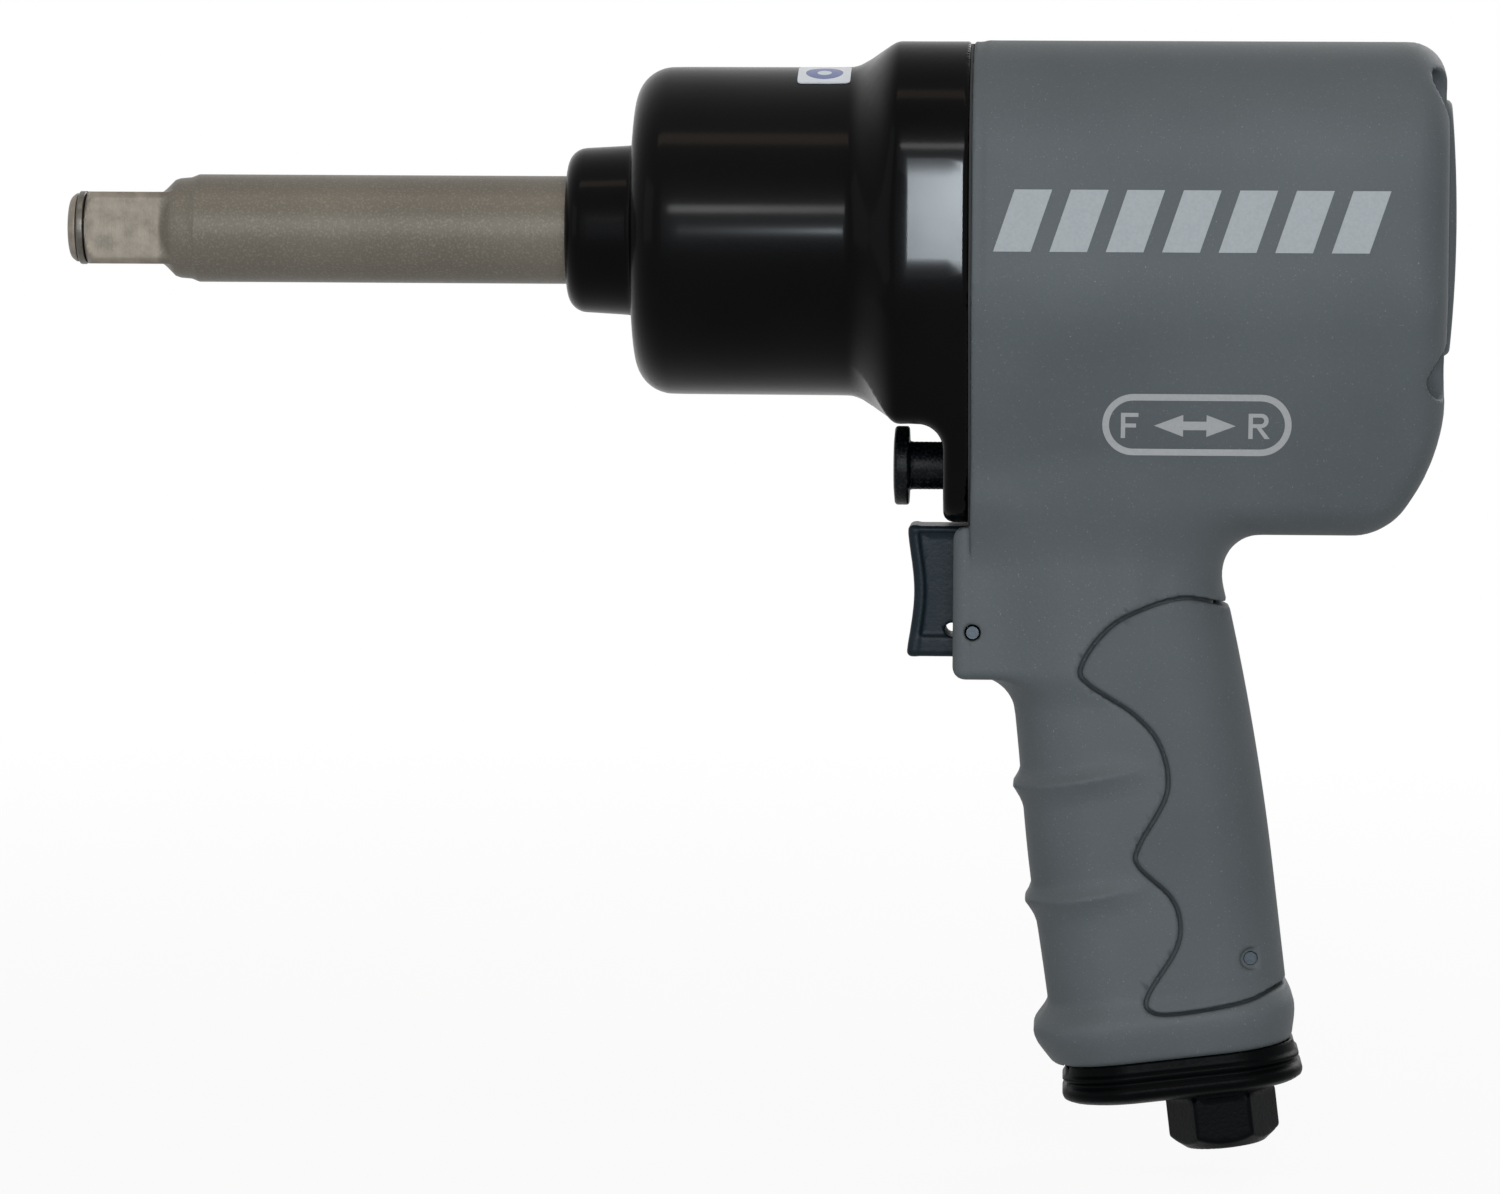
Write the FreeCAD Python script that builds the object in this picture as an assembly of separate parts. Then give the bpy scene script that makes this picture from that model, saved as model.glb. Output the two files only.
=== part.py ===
"""Half-inch air impact wrench with a pistol grip and an extended square anvil, in millimetres.

The origin is on the drive axis, at the shoulder face that the drive square stands on.  +X runs from
the drive square to the back of the tool, +Z is up, and the grip hangs down.
"""
import FreeCAD, Part
import math
import os

Vector = FreeCAD.Vector
ALONG_X = Vector(1, 0, 0)
ALONG_Y = Vector(0, 1, 0)
ALONG_Z = Vector(0, 0, 1)

# Driving dimensions -------------------------------------------------------------------------------
# Clearances
running_fit = 0.06
free_gap = 0.4

# Anvil
square_af = 12.7
square_length = 13.2
square_corner_radius = 8.5
pilot_radius = 6.05
pilot_length = 3.2
neck_radius = 6.4
collar_radius = 8.95
collar_end = 5.0
shaft_radius = 9.5
anvil_reach = 72.0
jaw_radius = 12.0
jaw_root_radius = 9.2
tail_radius = 8.0

# Hammer case
nose_radius = 14.4
nose_length = 11.5
case_wall = 3.2
case_front_wall = 3.5
case_radius = 28.9
flange_length = 12.6
ear_thickness = 4.6
ear_bottom = -50.6

# Hammer mechanism
washer_thickness = 1.0
cage_radius = 25.2
cage_front_plate = 4.0
cage_rear_plate = 6.0
cage_hub_length = 8.0
cage_hub_radius = 10.0
web_thickness = 1.8
web_half_height = 11.0
hammer_width = 10.0
hammer_radius = 22.0
hammer_bore = 14.0
hammer_tooth_radius = 11.0
hammer_pin_circle = 18.0
hammer_pin_radius = 2.5
hammer_rock_angle = 3.0
drive_hex_af = 9.0

# Motor
bore_radius = 28.0
end_plate_thickness = 10.0
cylinder_length = 64.0
cylinder_wall = 6.0
cylinder_offset = 2.0
vane_count = 6
vane_thickness = 1.5
vane_root = 11.0
dowel_inset = 3.0
dowel_depth = 4.0
dowel_radius = 1.25
wave_washer_thickness = 1.5
rear_wall = 11.4
gasket_thickness = 0.4

# Bearings, 12 x 28 x 8
bearing_outer = 14.0
bearing_inner = 6.0
bearing_width = 8.0
ball_radius = 2.2
ball_count = 8

# Housing
barrel_half = 33.3
barrel_corner = 21.0
taper_top = -12.0
belly_z = -52.4
belly_half = 16.5
case_step = 0.2
bolt_y = 22.0
bolt_z = 23.5
bolt_radius = 2.5
bolt_head_radius = 4.25
bolt_head_height = 5.0
bolt_pocket_radius = 4.8
cover_half_width = 18.0
cover_bottom = -21.0
cover_top = 23.5
cover_thickness = 2.6

# Reverse valve
reverse_z = -41.1
reverse_travel = 5.0
knob_radius = 6.95
knob_thickness = 3.1
knob_stem_radius = 4.25
knob_gap = 5.7
sleeve_start = 0.6
sleeve_length = 42.0
sleeve_radius = 7.5
spool_radius = 5.0
spool_core_radius = 3.2
spool_land = 6.0
spool_pitch = 14.0
stop_pin_radius = 1.0

# Trigger
trigger_z = -62.0
trigger_travel = 3.8
trigger_top = -51.4
trigger_bottom = -74.2
trigger_front = -11.6
trigger_length = 16.2
trigger_half = 8.0
guard_front = -3.0
guard_top = -51.3
guard_bottom = -77.9
guard_half = 15.6
rod_radius = 1.6
rod_bushing_radius = 3.5
rod_bushing_length = 12.0
trigger_spring_room = 5.6
roll_pin_radius = 1.1
trigger_pin_z = -69.6
trigger_pin_setback = 0.5

# Grip, in its own tilted frame: x across, h up from the foot
grip_tilt = 7.0
grip_setback = 43.6
grip_drop = 142.9
grip_front = -28.4
grip_rear = 13.3
grip_half = 16.7
grip_corner = 12.0
grip_height = 96.0
ridge_rise = 1.4
ridge_heights = (48.0, 27.6)
ridge_width = 3.4
foot_front = -31.4
foot_rear = 14.5
foot_height = 11.6
pad_depth = 2.4
pad_proud = 0.5

# Inlet and throttle valve, in the grip's frame
inlet_hex_af = 17.0
inlet_hex_height = 8.5
inlet_bore = 5.8
shank_radius = 9.5
shank_height = 20.0
passage_radius = 8.05
chamber_radius = 6.0
screen_thickness = 2.0
valve_seat_height = 41.5
valve_seat_thickness = 3.0
valve_seat_bore = 4.6
valve_disc_radius = 6.5
valve_disc_thickness = 3.0
valve_stem_radius = 1.5
inlet_pin_x = 7.8
inlet_pin_height = 15.9
inlet_pin_half = 13.8
deflector_height = 7.5
muffler_height = 34.0

# Stations along the drive axis, worked out from the sizes above
case_face = anvil_reach + nose_length
cavity_start = case_face + case_front_wall
cage_start = cavity_start + washer_thickness + 0.2
front_hammer = cage_start + cage_front_plate + free_gap
rear_hammer = front_hammer + hammer_width + free_gap
cage_back = rear_hammer + hammer_width + free_gap
cage_hub = cage_back + cage_rear_plate
end_plate_start = cage_hub + cage_hub_length + 0.6
motor_start = end_plate_start + end_plate_thickness
motor_end = motor_start + cylinder_length
rear_plate_end = motor_end + end_plate_thickness
bore_end = rear_plate_end + wave_washer_thickness
seam = motor_start + 5.4
rear_face = bore_end + rear_wall
cylinder_bore = bore_radius - cylinder_wall
dowel_reach = bore_radius - dowel_inset
rotor_radius = cylinder_bore - cylinder_offset - running_fit
cavity_radius = case_radius - case_wall
grip_foot_x = seam + grip_setback
grip_foot_z = -grip_drop
stem_height = (trigger_z - grip_foot_z) / math.cos(math.radians(grip_tilt))
rod_tip = grip_foot_x - stem_height * math.sin(math.radians(grip_tilt)) - valve_stem_radius - 0.1
trigger_start = seam + trigger_front
trigger_end = trigger_start + trigger_length
pocket_end = trigger_end + trigger_travel + free_gap
rod_bushing_start = pocket_end + trigger_spring_room
trigger_pin_x = seam + trigger_pin_setback


# Shape helpers ------------------------------------------------------------------------------------
def rod(start, end, radius, y=0.0, z=0.0):
    """A cylinder along X."""
    return Part.makeCylinder(radius, end - start, Vector(start, y, z), ALONG_X)


def ring(start, end, outer, inner, y=0.0, z=0.0):
    """A tube along X."""
    return rod(start, end, outer, y, z).cut(rod(start - 1, end + 1, inner, y, z))


def post(bottom, top, radius, x=0.0, y=0.0):
    """A cylinder along Z."""
    return Part.makeCylinder(radius, top - bottom, Vector(x, y, bottom), ALONG_Z)


def cross_pin(half_length, radius, x, z):
    """A cylinder along Y, centred on the middle plane."""
    return Part.makeCylinder(radius, 2 * half_length, Vector(x, -half_length, z), ALONG_Y)


def block(x0, x1, y0, y1, z0, z1):
    """A box between two corners."""
    return Part.makeBox(x1 - x0, y1 - y0, z1 - z0, Vector(x0, y0, z0))


def rounded_face(corners, place):
    """A face inside the corners (u, v, radius), each rounded; place turns u and v into a point."""
    points = [Vector(u, v, 0) for u, v, _ in corners]
    arcs = []
    for index, (_, _, radius) in enumerate(corners):
        here = points[index]
        back = (points[index - 1] - here).normalize()
        ahead = (points[(index + 1) % len(points)] - here).normalize()
        half = back.getAngle(ahead) / 2
        reach = radius / math.tan(half)
        start = here + back * reach
        end = here + ahead * reach
        bisector = (back + ahead)
        if radius > 0:
            middle = here + bisector.normalize() * (radius / math.sin(half) - radius)
        else:
            middle = here
        arcs.append((radius, start, middle, end))
    edges = []
    for index, (radius, start, middle, end) in enumerate(arcs):
        before = arcs[index - 1][3]
        if before.distanceToPoint(start) > 1e-6:
            edges.append(Part.LineSegment(place(before), place(start)).toShape())
        if radius > 0:
            edges.append(Part.Arc(place(start), place(middle), place(end)).toShape())
    return Part.Face(Part.Wire(Part.sortEdges(edges)[0]))


def side_prism(corners, half_width, middle=0.0):
    """A side outline (x, z, radius) given its width across Y."""
    face = rounded_face(corners, lambda p: Vector(p.x, middle - half_width, p.y))
    return face.extrude(ALONG_Y * (2 * half_width))


def front_prism(corners, start, end):
    """A front outline (y, z, radius) drawn out along X."""
    face = rounded_face(corners, lambda p: Vector(start, p.x, p.y))
    return face.extrude(ALONG_X * (end - start))


def top_prism(corners, bottom, top):
    """A plan outline (x, y, radius) drawn up along Z."""
    face = rounded_face(corners, lambda p: Vector(p.x, p.y, bottom))
    return face.extrude(ALONG_Z * (top - bottom))


def turned(corners, y=0.0, z=0.0):
    """A turned part about the X direction from its half outline (x, r, radius)."""
    face = rounded_face(corners, lambda p: Vector(p.x, y, z + p.y))
    return face.revolve(Vector(0, y, z), ALONG_X, 360)


def turned_up(corners):
    """A turned part about the Z axis from its half outline (r, z, radius)."""
    face = rounded_face(corners, lambda p: Vector(p.x, 0, p.y))
    return face.revolve(Vector(0, 0, 0), ALONG_Z, 360)


def hexagon(start, end, across_flats):
    """A hexagonal bar along X."""
    across_corners = across_flats / math.cos(math.pi / 6) / 2
    corners = []
    for step in range(6):
        angle = step * math.pi / 3
        corners.append((across_corners * math.cos(angle), across_corners * math.sin(angle), 0))
    return front_prism(corners, start, end)


def coil(bottom, top, mean_radius, wire_radius, turns):
    """A compression spring standing on Z, with its wire ends inside bottom and top."""
    height = top - bottom - 2 * wire_radius
    helix = Part.makeHelix(height / turns, height, mean_radius)
    section = Part.Wire([Part.makeCircle(wire_radius, Vector(mean_radius, 0, 0), ALONG_Y)])
    spring = Part.Wire(helix.Edges).makePipeShell([section], True, True)
    spring.translate(Vector(0, 0, bottom + wire_radius))
    return spring


def fuse_all(shapes):
    """All shapes joined into one."""
    whole = shapes[0]
    for shape in shapes[1:]:
        whole = whole.fuse(shape)
    return whole.removeSplitter()


def in_grip(shape):
    """A shape made in the grip's frame, put in its tilted place."""
    moved = shape.copy()
    moved.rotate(Vector(0, 0, 0), ALONG_Y, -grip_tilt)
    moved.translate(Vector(grip_foot_x, 0, grip_foot_z))
    return moved


def save(name, shape):
    """Write one node's STEP file."""
    shape.exportStep("parts/" + name + ".step")
    print(name, "solids", len(shape.Solids), "valid", shape.isValid(), "volume", round(shape.Volume, 1))


# Anvil and its socket retainer --------------------------------------------------------------------
def anvil():
    nose = -square_length - pilot_length
    square = block(nose + 3.0, collar_end, -square_af / 2, square_af / 2, -square_af / 2, square_af / 2)
    square = square.common(rod(-square_length, collar_end, square_corner_radius))
    pilot = turned([(nose, 0, 0), (nose, pilot_radius, 1.6), (1.0, pilot_radius, 0), (1.0, 0, 0)])
    shaft = turned([
        (-0.01, 0, 0),
        (-0.01, neck_radius, 0),
        (2.3, collar_radius - 0.45, 1.0),
        (collar_end, collar_radius, 0),
        (collar_end + 1.5, shaft_radius, 0),
        (cavity_start + washer_thickness, shaft_radius, 0),
        (cavity_start + washer_thickness, jaw_radius, 0),
        (front_hammer - free_gap / 2, jaw_radius, 0),
        (front_hammer - free_gap / 2, jaw_root_radius, 0),
        (cage_back - free_gap / 2, jaw_root_radius, 0),
        (cage_back - free_gap / 2, tail_radius, 0),
        (cage_hub - 0.3, tail_radius, 0.6),
        (cage_hub - 0.3, 0, 0)])
    groove = ring(nose + 1.5, -square_length - 0.1, 9.0, pilot_radius - 1.45)
    jaws = []
    for start, side in ((front_hammer, 1), (rear_hammer, -1)):
        jaw = rod(start, start + hammer_width, jaw_radius)
        jaw = jaw.common(block(start, start + hammer_width, 0, side * 20, -4, 4) if side > 0
                         else block(start, start + hammer_width, -20, 0, -4, 4))
        jaws.append(jaw)
    body = fuse_all([square, pilot, shaft] + jaws)
    return body.cut(groove)


def socket_retaining_ring():
    nose = -square_length - pilot_length
    start = nose + 1.6
    end = -square_length - 0.2
    split = ring(start, end, pilot_radius + 0.5, pilot_radius - 0.65)
    return split.cut(block(start - 1, end + 1, -1.0, 1.0, 0, 9))


def retaining_ring_o_ring():
    nose = -square_length - pilot_length
    middle = (nose + 1.5 - square_length - 0.1) / 2
    return Part.makeTorus(pilot_radius - 1.05, 0.4, Vector(middle, 0, 0), ALONG_X)


# Hammer case --------------------------------------------------------------------------------------
def barrel_section(inset=0.0):
    """Corners (y, z, radius) of the barrel: square with big top corners and sides that taper in."""
    half = barrel_half - inset
    foot = belly_half - inset
    return [
        (half, half, barrel_corner - inset),
        (half, taper_top, 14.0),
        (foot, belly_z + inset, 5.0),
        (-foot, belly_z + inset, 5.0),
        (-half, taper_top, 14.0),
        (-half, half, barrel_corner - inset)]


def hammer_case():
    flange_start = seam - gasket_thickness - flange_length
    case_end = seam - gasket_thickness
    outside = turned([
        (anvil_reach, 0, 0),
        (anvil_reach, nose_radius, 3.0),
        (case_face + 0.1, nose_radius + 0.6, 0.8),
        (case_face + 1.6, case_radius - 4.3, 4.0),
        (case_face + 4.5, case_radius, 3.0),
        (flange_start - 8.0, case_radius, 3.0),
        (flange_start, barrel_half - case_step, 0),
        (case_end, barrel_half - case_step, 0),
        (case_end, 0, 0)])
    section = front_prism(barrel_section(case_step), flange_start, case_end)
    upper = section.common(block(flange_start, case_end, -60, 60, -barrel_half, 60))
    ear_front = case_end - ear_thickness
    ear = section.common(block(ear_front, case_end, -60, 60, ear_bottom, 0))
    body = fuse_all([outside, upper, ear])
    body = body.cut(rod(cavity_start, end_plate_start + 0.01, cavity_radius))
    body = body.cut(rod(end_plate_start, case_end + 1, bore_radius))
    body = body.cut(rod(anvil_reach - 1, cavity_start + 1, shaft_radius + 0.7))
    body = body.cut(rod(anvil_reach + 0.6, cavity_start + 1, jaw_radius))
    for y, z in bolt_places():
        body = body.cut(rod(end_plate_start + 4.0, case_end + 1, bolt_radius, y, z))
    return body.cut(rod(ear_front - 1, case_end + 1, knob_stem_radius + 0.15, 0, reverse_z))


def hammer_case_bushing():
    return ring(anvil_reach + 2.2, cavity_start, jaw_radius, shaft_radius + running_fit)


def anvil_oil_seal():
    return ring(anvil_reach + 0.6, anvil_reach + 2.2, jaw_radius, shaft_radius + running_fit)


def anvil_thrust_washer():
    return ring(cavity_start, cavity_start + washer_thickness, 18.0, shaft_radius + 0.3)


# Hammer mechanism ---------------------------------------------------------------------------------
def hammer_pin_places():
    """The two pin centres (y, z): the front hammer's pivot first."""
    return [(0.0, hammer_pin_circle), (0.0, -hammer_pin_circle)]


def hammer_cage():
    front = ring(cage_start, cage_start + cage_front_plate, cage_radius, jaw_radius + running_fit)
    back = rod(cage_back, cage_hub, cage_radius)
    hub = rod(cage_hub, cage_hub + cage_hub_length, cage_hub_radius)
    webs = ring(cage_start, cage_hub, cage_radius, cage_radius - web_thickness)
    webs = webs.common(block(cage_start, cage_hub, -60, 60, -web_half_height, web_half_height))
    cage = fuse_all([front, back, hub, webs])
    cage = cage.cut(rod(cage_back - 1, cage_hub, tail_radius + running_fit))
    cage = cage.cut(hexagon(cage_hub - 1, cage_hub + cage_hub_length + 1, drive_hex_af + 0.1))
    for y, z in hammer_pin_places():
        cage = cage.cut(rod(cage_start - 1, cage_hub + 1, hammer_pin_radius, y, z))
    return cage


def hammer(start, pivot, other, tooth_side):
    """A hammer dog: a ring that rocks on one pin and has a slot round the other."""
    end = start + hammer_width
    dog = ring(start, end, hammer_radius, hammer_bore)
    tooth = ring(start, end, hammer_bore + 1, hammer_tooth_radius)
    tooth = tooth.common(block(start, end, -3, 3, 0, 20) if tooth_side > 0
                         else block(start, end, -3, 3, -20, 0))
    dog = fuse_all([dog, tooth])
    dog = dog.cut(rod(start - 1, end + 1, hammer_pin_radius + running_fit, pivot[0], pivot[1]))
    swing = 2 * hammer_pin_circle * math.sin(math.radians(hammer_rock_angle)) + 0.3
    reach = hammer_pin_radius + 0.25
    slot = block(start - 1, end + 1, -swing, swing, other[1] - reach, other[1] + reach)
    slot = slot.fuse(rod(start - 1, end + 1, reach, -swing, other[1]))
    slot = slot.fuse(rod(start - 1, end + 1, reach, swing, other[1]))
    return dog.cut(slot)


def hammer_pins():
    pins = []
    for y, z in hammer_pin_places():
        pins.append(rod(cage_start, cage_hub, hammer_pin_radius, y, z))
    return Part.makeCompound(pins)


# Motor --------------------------------------------------------------------------------------------
def bearing_race_outer(start):
    race = ring(start, start + bearing_width, bearing_outer, bearing_outer - 2.8)
    return race.cut(ball_track(start))


def bearing_race_inner(start):
    race = ring(start, start + bearing_width, bearing_inner + 2.8, bearing_inner)
    return race.cut(ball_track(start))


def ball_track(start):
    middle = (bearing_outer + bearing_inner) / 2
    centre = Vector(start + bearing_width / 2, 0, 0)
    return Part.makeTorus(middle, ball_radius + running_fit, centre, ALONG_X)


def bearing_balls(start):
    middle = (bearing_outer + bearing_inner) / 2
    balls = []
    for step in range(ball_count):
        angle = 2 * math.pi * step / ball_count
        centre = Vector(start + bearing_width / 2, middle * math.cos(angle), middle * math.sin(angle))
        balls.append(Part.makeSphere(ball_radius, centre))
    return Part.makeCompound(balls)


def dowels():
    """Four dowels that line the end plates up with the cylinder."""
    pins = []
    for y in (-dowel_reach, dowel_reach):
        for x in (motor_start, motor_end):
            pins.append(rod(x - dowel_depth, x + dowel_depth, dowel_radius, y, 0))
    return pins


def front_end_plate():
    plate = rod(end_plate_start, motor_start, bore_radius - 0.1)
    plate = plate.cut(rod(end_plate_start - 1, motor_start + 1, bearing_inner + 2.0))
    plate = plate.cut(rod(motor_start - bearing_width - 0.1, motor_start + 1, bearing_outer))
    return plate.cut(Part.makeCompound(dowels()))


def rear_end_plate():
    plate = rod(motor_end, rear_plate_end, bore_radius - 0.1)
    plate = plate.cut(rod(motor_end - 1, rear_plate_end + 1, bearing_inner + 2.0))
    plate = plate.cut(rod(rear_plate_end - bearing_width - 0.1, rear_plate_end + 1, bearing_outer))
    return plate.cut(Part.makeCompound(dowels()))


def port_x():
    """Front edge of the exhaust port, over the front half of the grip."""
    return grip_foot_x - 29.0


def motor_cylinder():
    body = rod(motor_start, motor_end, bore_radius - 0.1)
    body = body.cut(rod(motor_start - 1, motor_end + 1, cylinder_bore, 0, cylinder_offset))
    for side in (-1, 1):
        body = body.cut(block(port_x(), port_x() + 10, side * 10.25 - 1.75, side * 10.25 + 1.75, -30, 0))
    for x in (port_x() - 5, port_x() + 20):
        body = body.cut(post(-30, -15, 2.0, x))
    return body.cut(Part.makeCompound(dowels()))


def cylinder_dowel_pins():
    return Part.makeCompound(dowels())


def rotor():
    core = rod(motor_start + 0.1, motor_end - 0.1, rotor_radius)
    neck = rod(cage_hub + cage_hub_length, motor_start + 1, bearing_inner)
    tail = rod(motor_end - 1, rear_plate_end, bearing_inner)
    hexed = hexagon(cage_hub + 0.4, cage_hub + cage_hub_length + 1, drive_hex_af)
    body = fuse_all([core, neck, tail, hexed])
    for step in range(vane_count):
        slot = block(motor_start, motor_end, -0.8, 0.8, vane_root - 0.5, rotor_radius + 1)
        slot.rotate(Vector(0, 0, 0), ALONG_X, 360.0 * step / vane_count)
        body = body.cut(slot)
    return body


def rotor_vanes():
    vanes = []
    for step in range(vane_count):
        half = vane_thickness / 2
        vane = block(motor_start + 0.2, motor_end - 0.2, -half, half, vane_root, rotor_radius - 0.1)
        vane.rotate(Vector(0, 0, 0), ALONG_X, 360.0 * step / vane_count)
        vanes.append(vane)
    return Part.makeCompound(vanes)


def rear_wave_washer():
    return ring(rear_plate_end, bore_end, bearing_outer - 0.5, bearing_outer - 2.8)


# Housing ------------------------------------------------------------------------------------------
def bolt_places():
    """The four bolt centres (y, z)."""
    return [(-bolt_y, bolt_z), (bolt_y, bolt_z), (-bolt_y, -bolt_z), (bolt_y, -bolt_z)]


def barrel():
    """The motor barrel: its cross-section drawn back, and cut to the rounded rear outline."""
    section = front_prism(barrel_section(), seam, rear_face + 4)
    side = side_prism([
        (seam, barrel_half + 1, 0),
        (rear_face - 30, barrel_half + 1, 0),
        (rear_face - 5.5, barrel_half - 0.6, 2.0),
        (rear_face + 0.4, barrel_half - 4.0, 4.0),
        (rear_face, -33.0, 14.0),
        (rear_face - 2.4, -42.5, 8.0),
        (rear_face - 9.5, belly_z, 2.0),
        (seam, belly_z, 0)], 60)
    return section.common(side)


def guard():
    """The block under the barrel that holds the trigger and blends into the grip."""
    front = seam + guard_front
    grip_top_front = grip_foot_x - 35.3
    grip_top_rear = grip_foot_x + 1.0
    return side_prism([
        (front, guard_top, 2.0),
        (front, guard_bottom, 1.7),
        (grip_top_front, guard_bottom, 5.5),
        (grip_top_front + 1.5, guard_bottom - 12, 0),
        (grip_top_rear + 0.5, guard_bottom - 12, 0),
        (grip_top_rear - 0.6, belly_z, 9.5),
        (grip_top_rear + 14, belly_z, 0),
        (grip_top_rear + 14, belly_z + 6, 0),
        (seam + 2, belly_z + 6, 0),
        (seam + 2, guard_top, 0)], guard_half)


def grip_section(front, rear, half, bottom, top):
    """A length of the grip in its own frame, with rounded corners in plan."""
    corner = min(grip_corner, half - 1)
    return top_prism([
        (front, -half, corner),
        (rear, -half, corner),
        (rear, half, corner),
        (front, half, corner)], bottom, top)


def grip_ridges():
    """The two finger ridges, wedge-ended towards the back."""
    ridges = []
    for height in ridge_heights:
        band = grip_section(grip_front - ridge_rise, 0.0, grip_half + 0.5, height, height + ridge_width)
        ridges.append(band.common(block(-60, grip_front + 18, -60, 60, height, height + ridge_width)))
    return ridges


def grip(inset=0.0):
    """The whole grip in its own frame, shrunk by inset on every side."""
    main = grip_section(grip_front + inset, grip_rear - inset, grip_half - inset, 0, grip_height)
    lower = grip_section(foot_front + inset + 1.4, foot_rear - inset - 1, grip_half + 0.3 - inset, 0, foot_height)
    flare = grip_section(foot_front + inset, foot_rear - inset, grip_half + 1.2 - inset, 2.2, 8.6)
    return fuse_all([main, lower, flare])


def pad_outline(inset=0.0):
    """The palm pad's side outline in the grip's frame, open past the back of the grip."""
    return side_prism([
        (25, 77.0 - inset, 0),
        (2.0, 80.6 - inset, 8.0),
        (-11.0 + inset, 77.0 - inset, 6.0),
        (-18.5 + inset, 69.0, 3.5),
        (-3.0 + inset, 59.5, 7.0),
        (-2.6 + inset, 46.5, 7.0),
        (-11.6 + inset, 35.8, 3.5),
        (-3.2 + inset, 29.5, 6.0),
        (-3.6 + inset, 20.0, 7.0),
        (-13.6 + inset, 8.3 + inset, 2.0),
        (0.0, 7.7 + inset, 5.0),
        (25, 12.5 + inset, 0)], 40)


def palm_grip_pad():
    outer = grip_section(grip_front, grip_rear + pad_proud, grip_half + pad_proud, 0, grip_height)
    inner = grip_section(grip_front, grip_rear - pad_depth, grip_half - pad_depth, -1, grip_height + 1)
    skin = outer.cut(inner).common(pad_outline(0.4))
    skin = skin.common(block(-60, 60, -60, 60, 8.7, grip_height))
    return in_grip(skin.cut(cross_pin(40, roll_pin_radius, inlet_pin_x, inlet_pin_height)))


def pad_recess():
    inner = grip_section(grip_front, grip_rear - pad_depth, grip_half - pad_depth, -1, grip_height + 1)
    outer = block(-60, 60, -60, 60, 8.7, grip_height - 8)
    return in_grip(outer.cut(inner).common(pad_outline()))


def exhaust_cavity():
    """The exhaust passage: down the front half of the grip, with two risers to the motor."""
    down = in_grip(block(-24.5, -12.5, -11, 11, -1, 66))
    risers = []
    for side in (-1, 1):
        riser = block(port_x(), port_x() + 10, side * 10.25 - 1.75, side * 10.25 + 1.75, -86, -20)
        risers.append(riser)
    return down, risers


def motor_housing():
    body = fuse_all([barrel(), guard(), in_grip(fuse_all([grip()] + grip_ridges()))])
    body = body.cut(block(0, seam, -60, 60, guard_top, 60))
    body = body.cut(rod(seam - 1, bore_end, bore_radius))
    body = body.cut(rod(seam, bore_end + 7, bearing_outer - 3.0))
    body = body.cut(rod(seam - 1, seam + sleeve_start + sleeve_length, sleeve_radius, 0, reverse_z))
    seat = bore_end + 0.5
    for y, z in bolt_places():
        body = body.cut(rod(seam - 1, rear_face + 1, bolt_radius + 0.2, y, z))
        body = body.cut(rod(seat, rear_face + 9, bolt_pocket_radius, y, z))
    pocket = block(seam - 20, pocket_end, -trigger_half - 0.4, trigger_half + 0.4,
                   trigger_bottom - 0.4, guard_top + 0.2)
    body = body.cut(pocket)
    body = body.cut(rod(pocket_end - 1, rod_bushing_start, 4.0, 0, trigger_z))
    body = body.cut(rod(rod_bushing_start - 1, rod_bushing_start + rod_bushing_length,
                        rod_bushing_radius, 0, trigger_z))
    body = body.cut(rod(rod_bushing_start, rod_tip + 1, rod_radius + 0.4, 0, trigger_z))
    body = body.cut(cross_pin(40, roll_pin_radius, trigger_pin_x, trigger_pin_z))
    body = body.cut(in_grip(post(-1, shank_height, shank_radius + 0.05)))
    body = body.cut(in_grip(post(0, valve_seat_height + valve_seat_thickness, passage_radius)))
    body = body.cut(in_grip(post(0, stem_height + 4.5, chamber_radius)))
    body = body.cut(post(trigger_z + 2.8, reverse_z - 2, 3.0, seam + 28.1))
    body = body.cut(in_grip(cross_pin(40, roll_pin_radius, inlet_pin_x, inlet_pin_height)))
    down, risers = exhaust_cavity()
    body = body.cut(down)
    for riser in risers:
        body = body.cut(riser)
    for x in (port_x() - 5, port_x() + 20):
        body = body.cut(post(reverse_z + 2, -20, 2.0, x))
    body = body.cut(pad_recess())
    body = body.cut(rear_cover_block(rear_face - 0.8, 0.3))
    return body.removeSplitter()


def hammer_case_gasket():
    section = front_prism(barrel_section(0.6), seam - gasket_thickness, seam)
    gasket = section.cut(rod(seam - 2, seam + 2, bore_radius))
    gasket = gasket.cut(block(seam - 2, seam + 2, -60, 60, -80, ear_bottom))
    for y, z in bolt_places():
        gasket = gasket.cut(rod(seam - 2, seam + 2, bolt_radius + 0.2, y, z))
    return gasket.cut(rod(seam - 2, seam + 2, knob_stem_radius + 0.3, 0, reverse_z))


def rear_cover_block(start, grow=0.0):
    """The raised plate on the back, starting at start; grow widens it into its own recess."""
    half = cover_half_width + grow
    return front_prism([
        (half, cover_top + grow, 6.0),
        (half, cover_bottom - grow, 6.0),
        (-half, cover_bottom - grow, 6.0),
        (-half, cover_top + grow, 6.0)], start, rear_face + 20)


def rear_cover():
    plate = rear_cover_block(rear_face - 0.4)
    dome = turned([
        (rear_face - 0.4, 0, 0),
        (rear_face - 0.4, 60, 0),
        (rear_face + 0.6, 60, 0),
        (rear_face + cover_thickness, 10, 30),
        (rear_face + cover_thickness, 0, 0)])
    plate = plate.common(dome)
    for y, z in bolt_places():
        plate = plate.cut(rod(rear_face - 5, rear_face + 20, bolt_pocket_radius + 0.4, y, z))
    return plate


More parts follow.
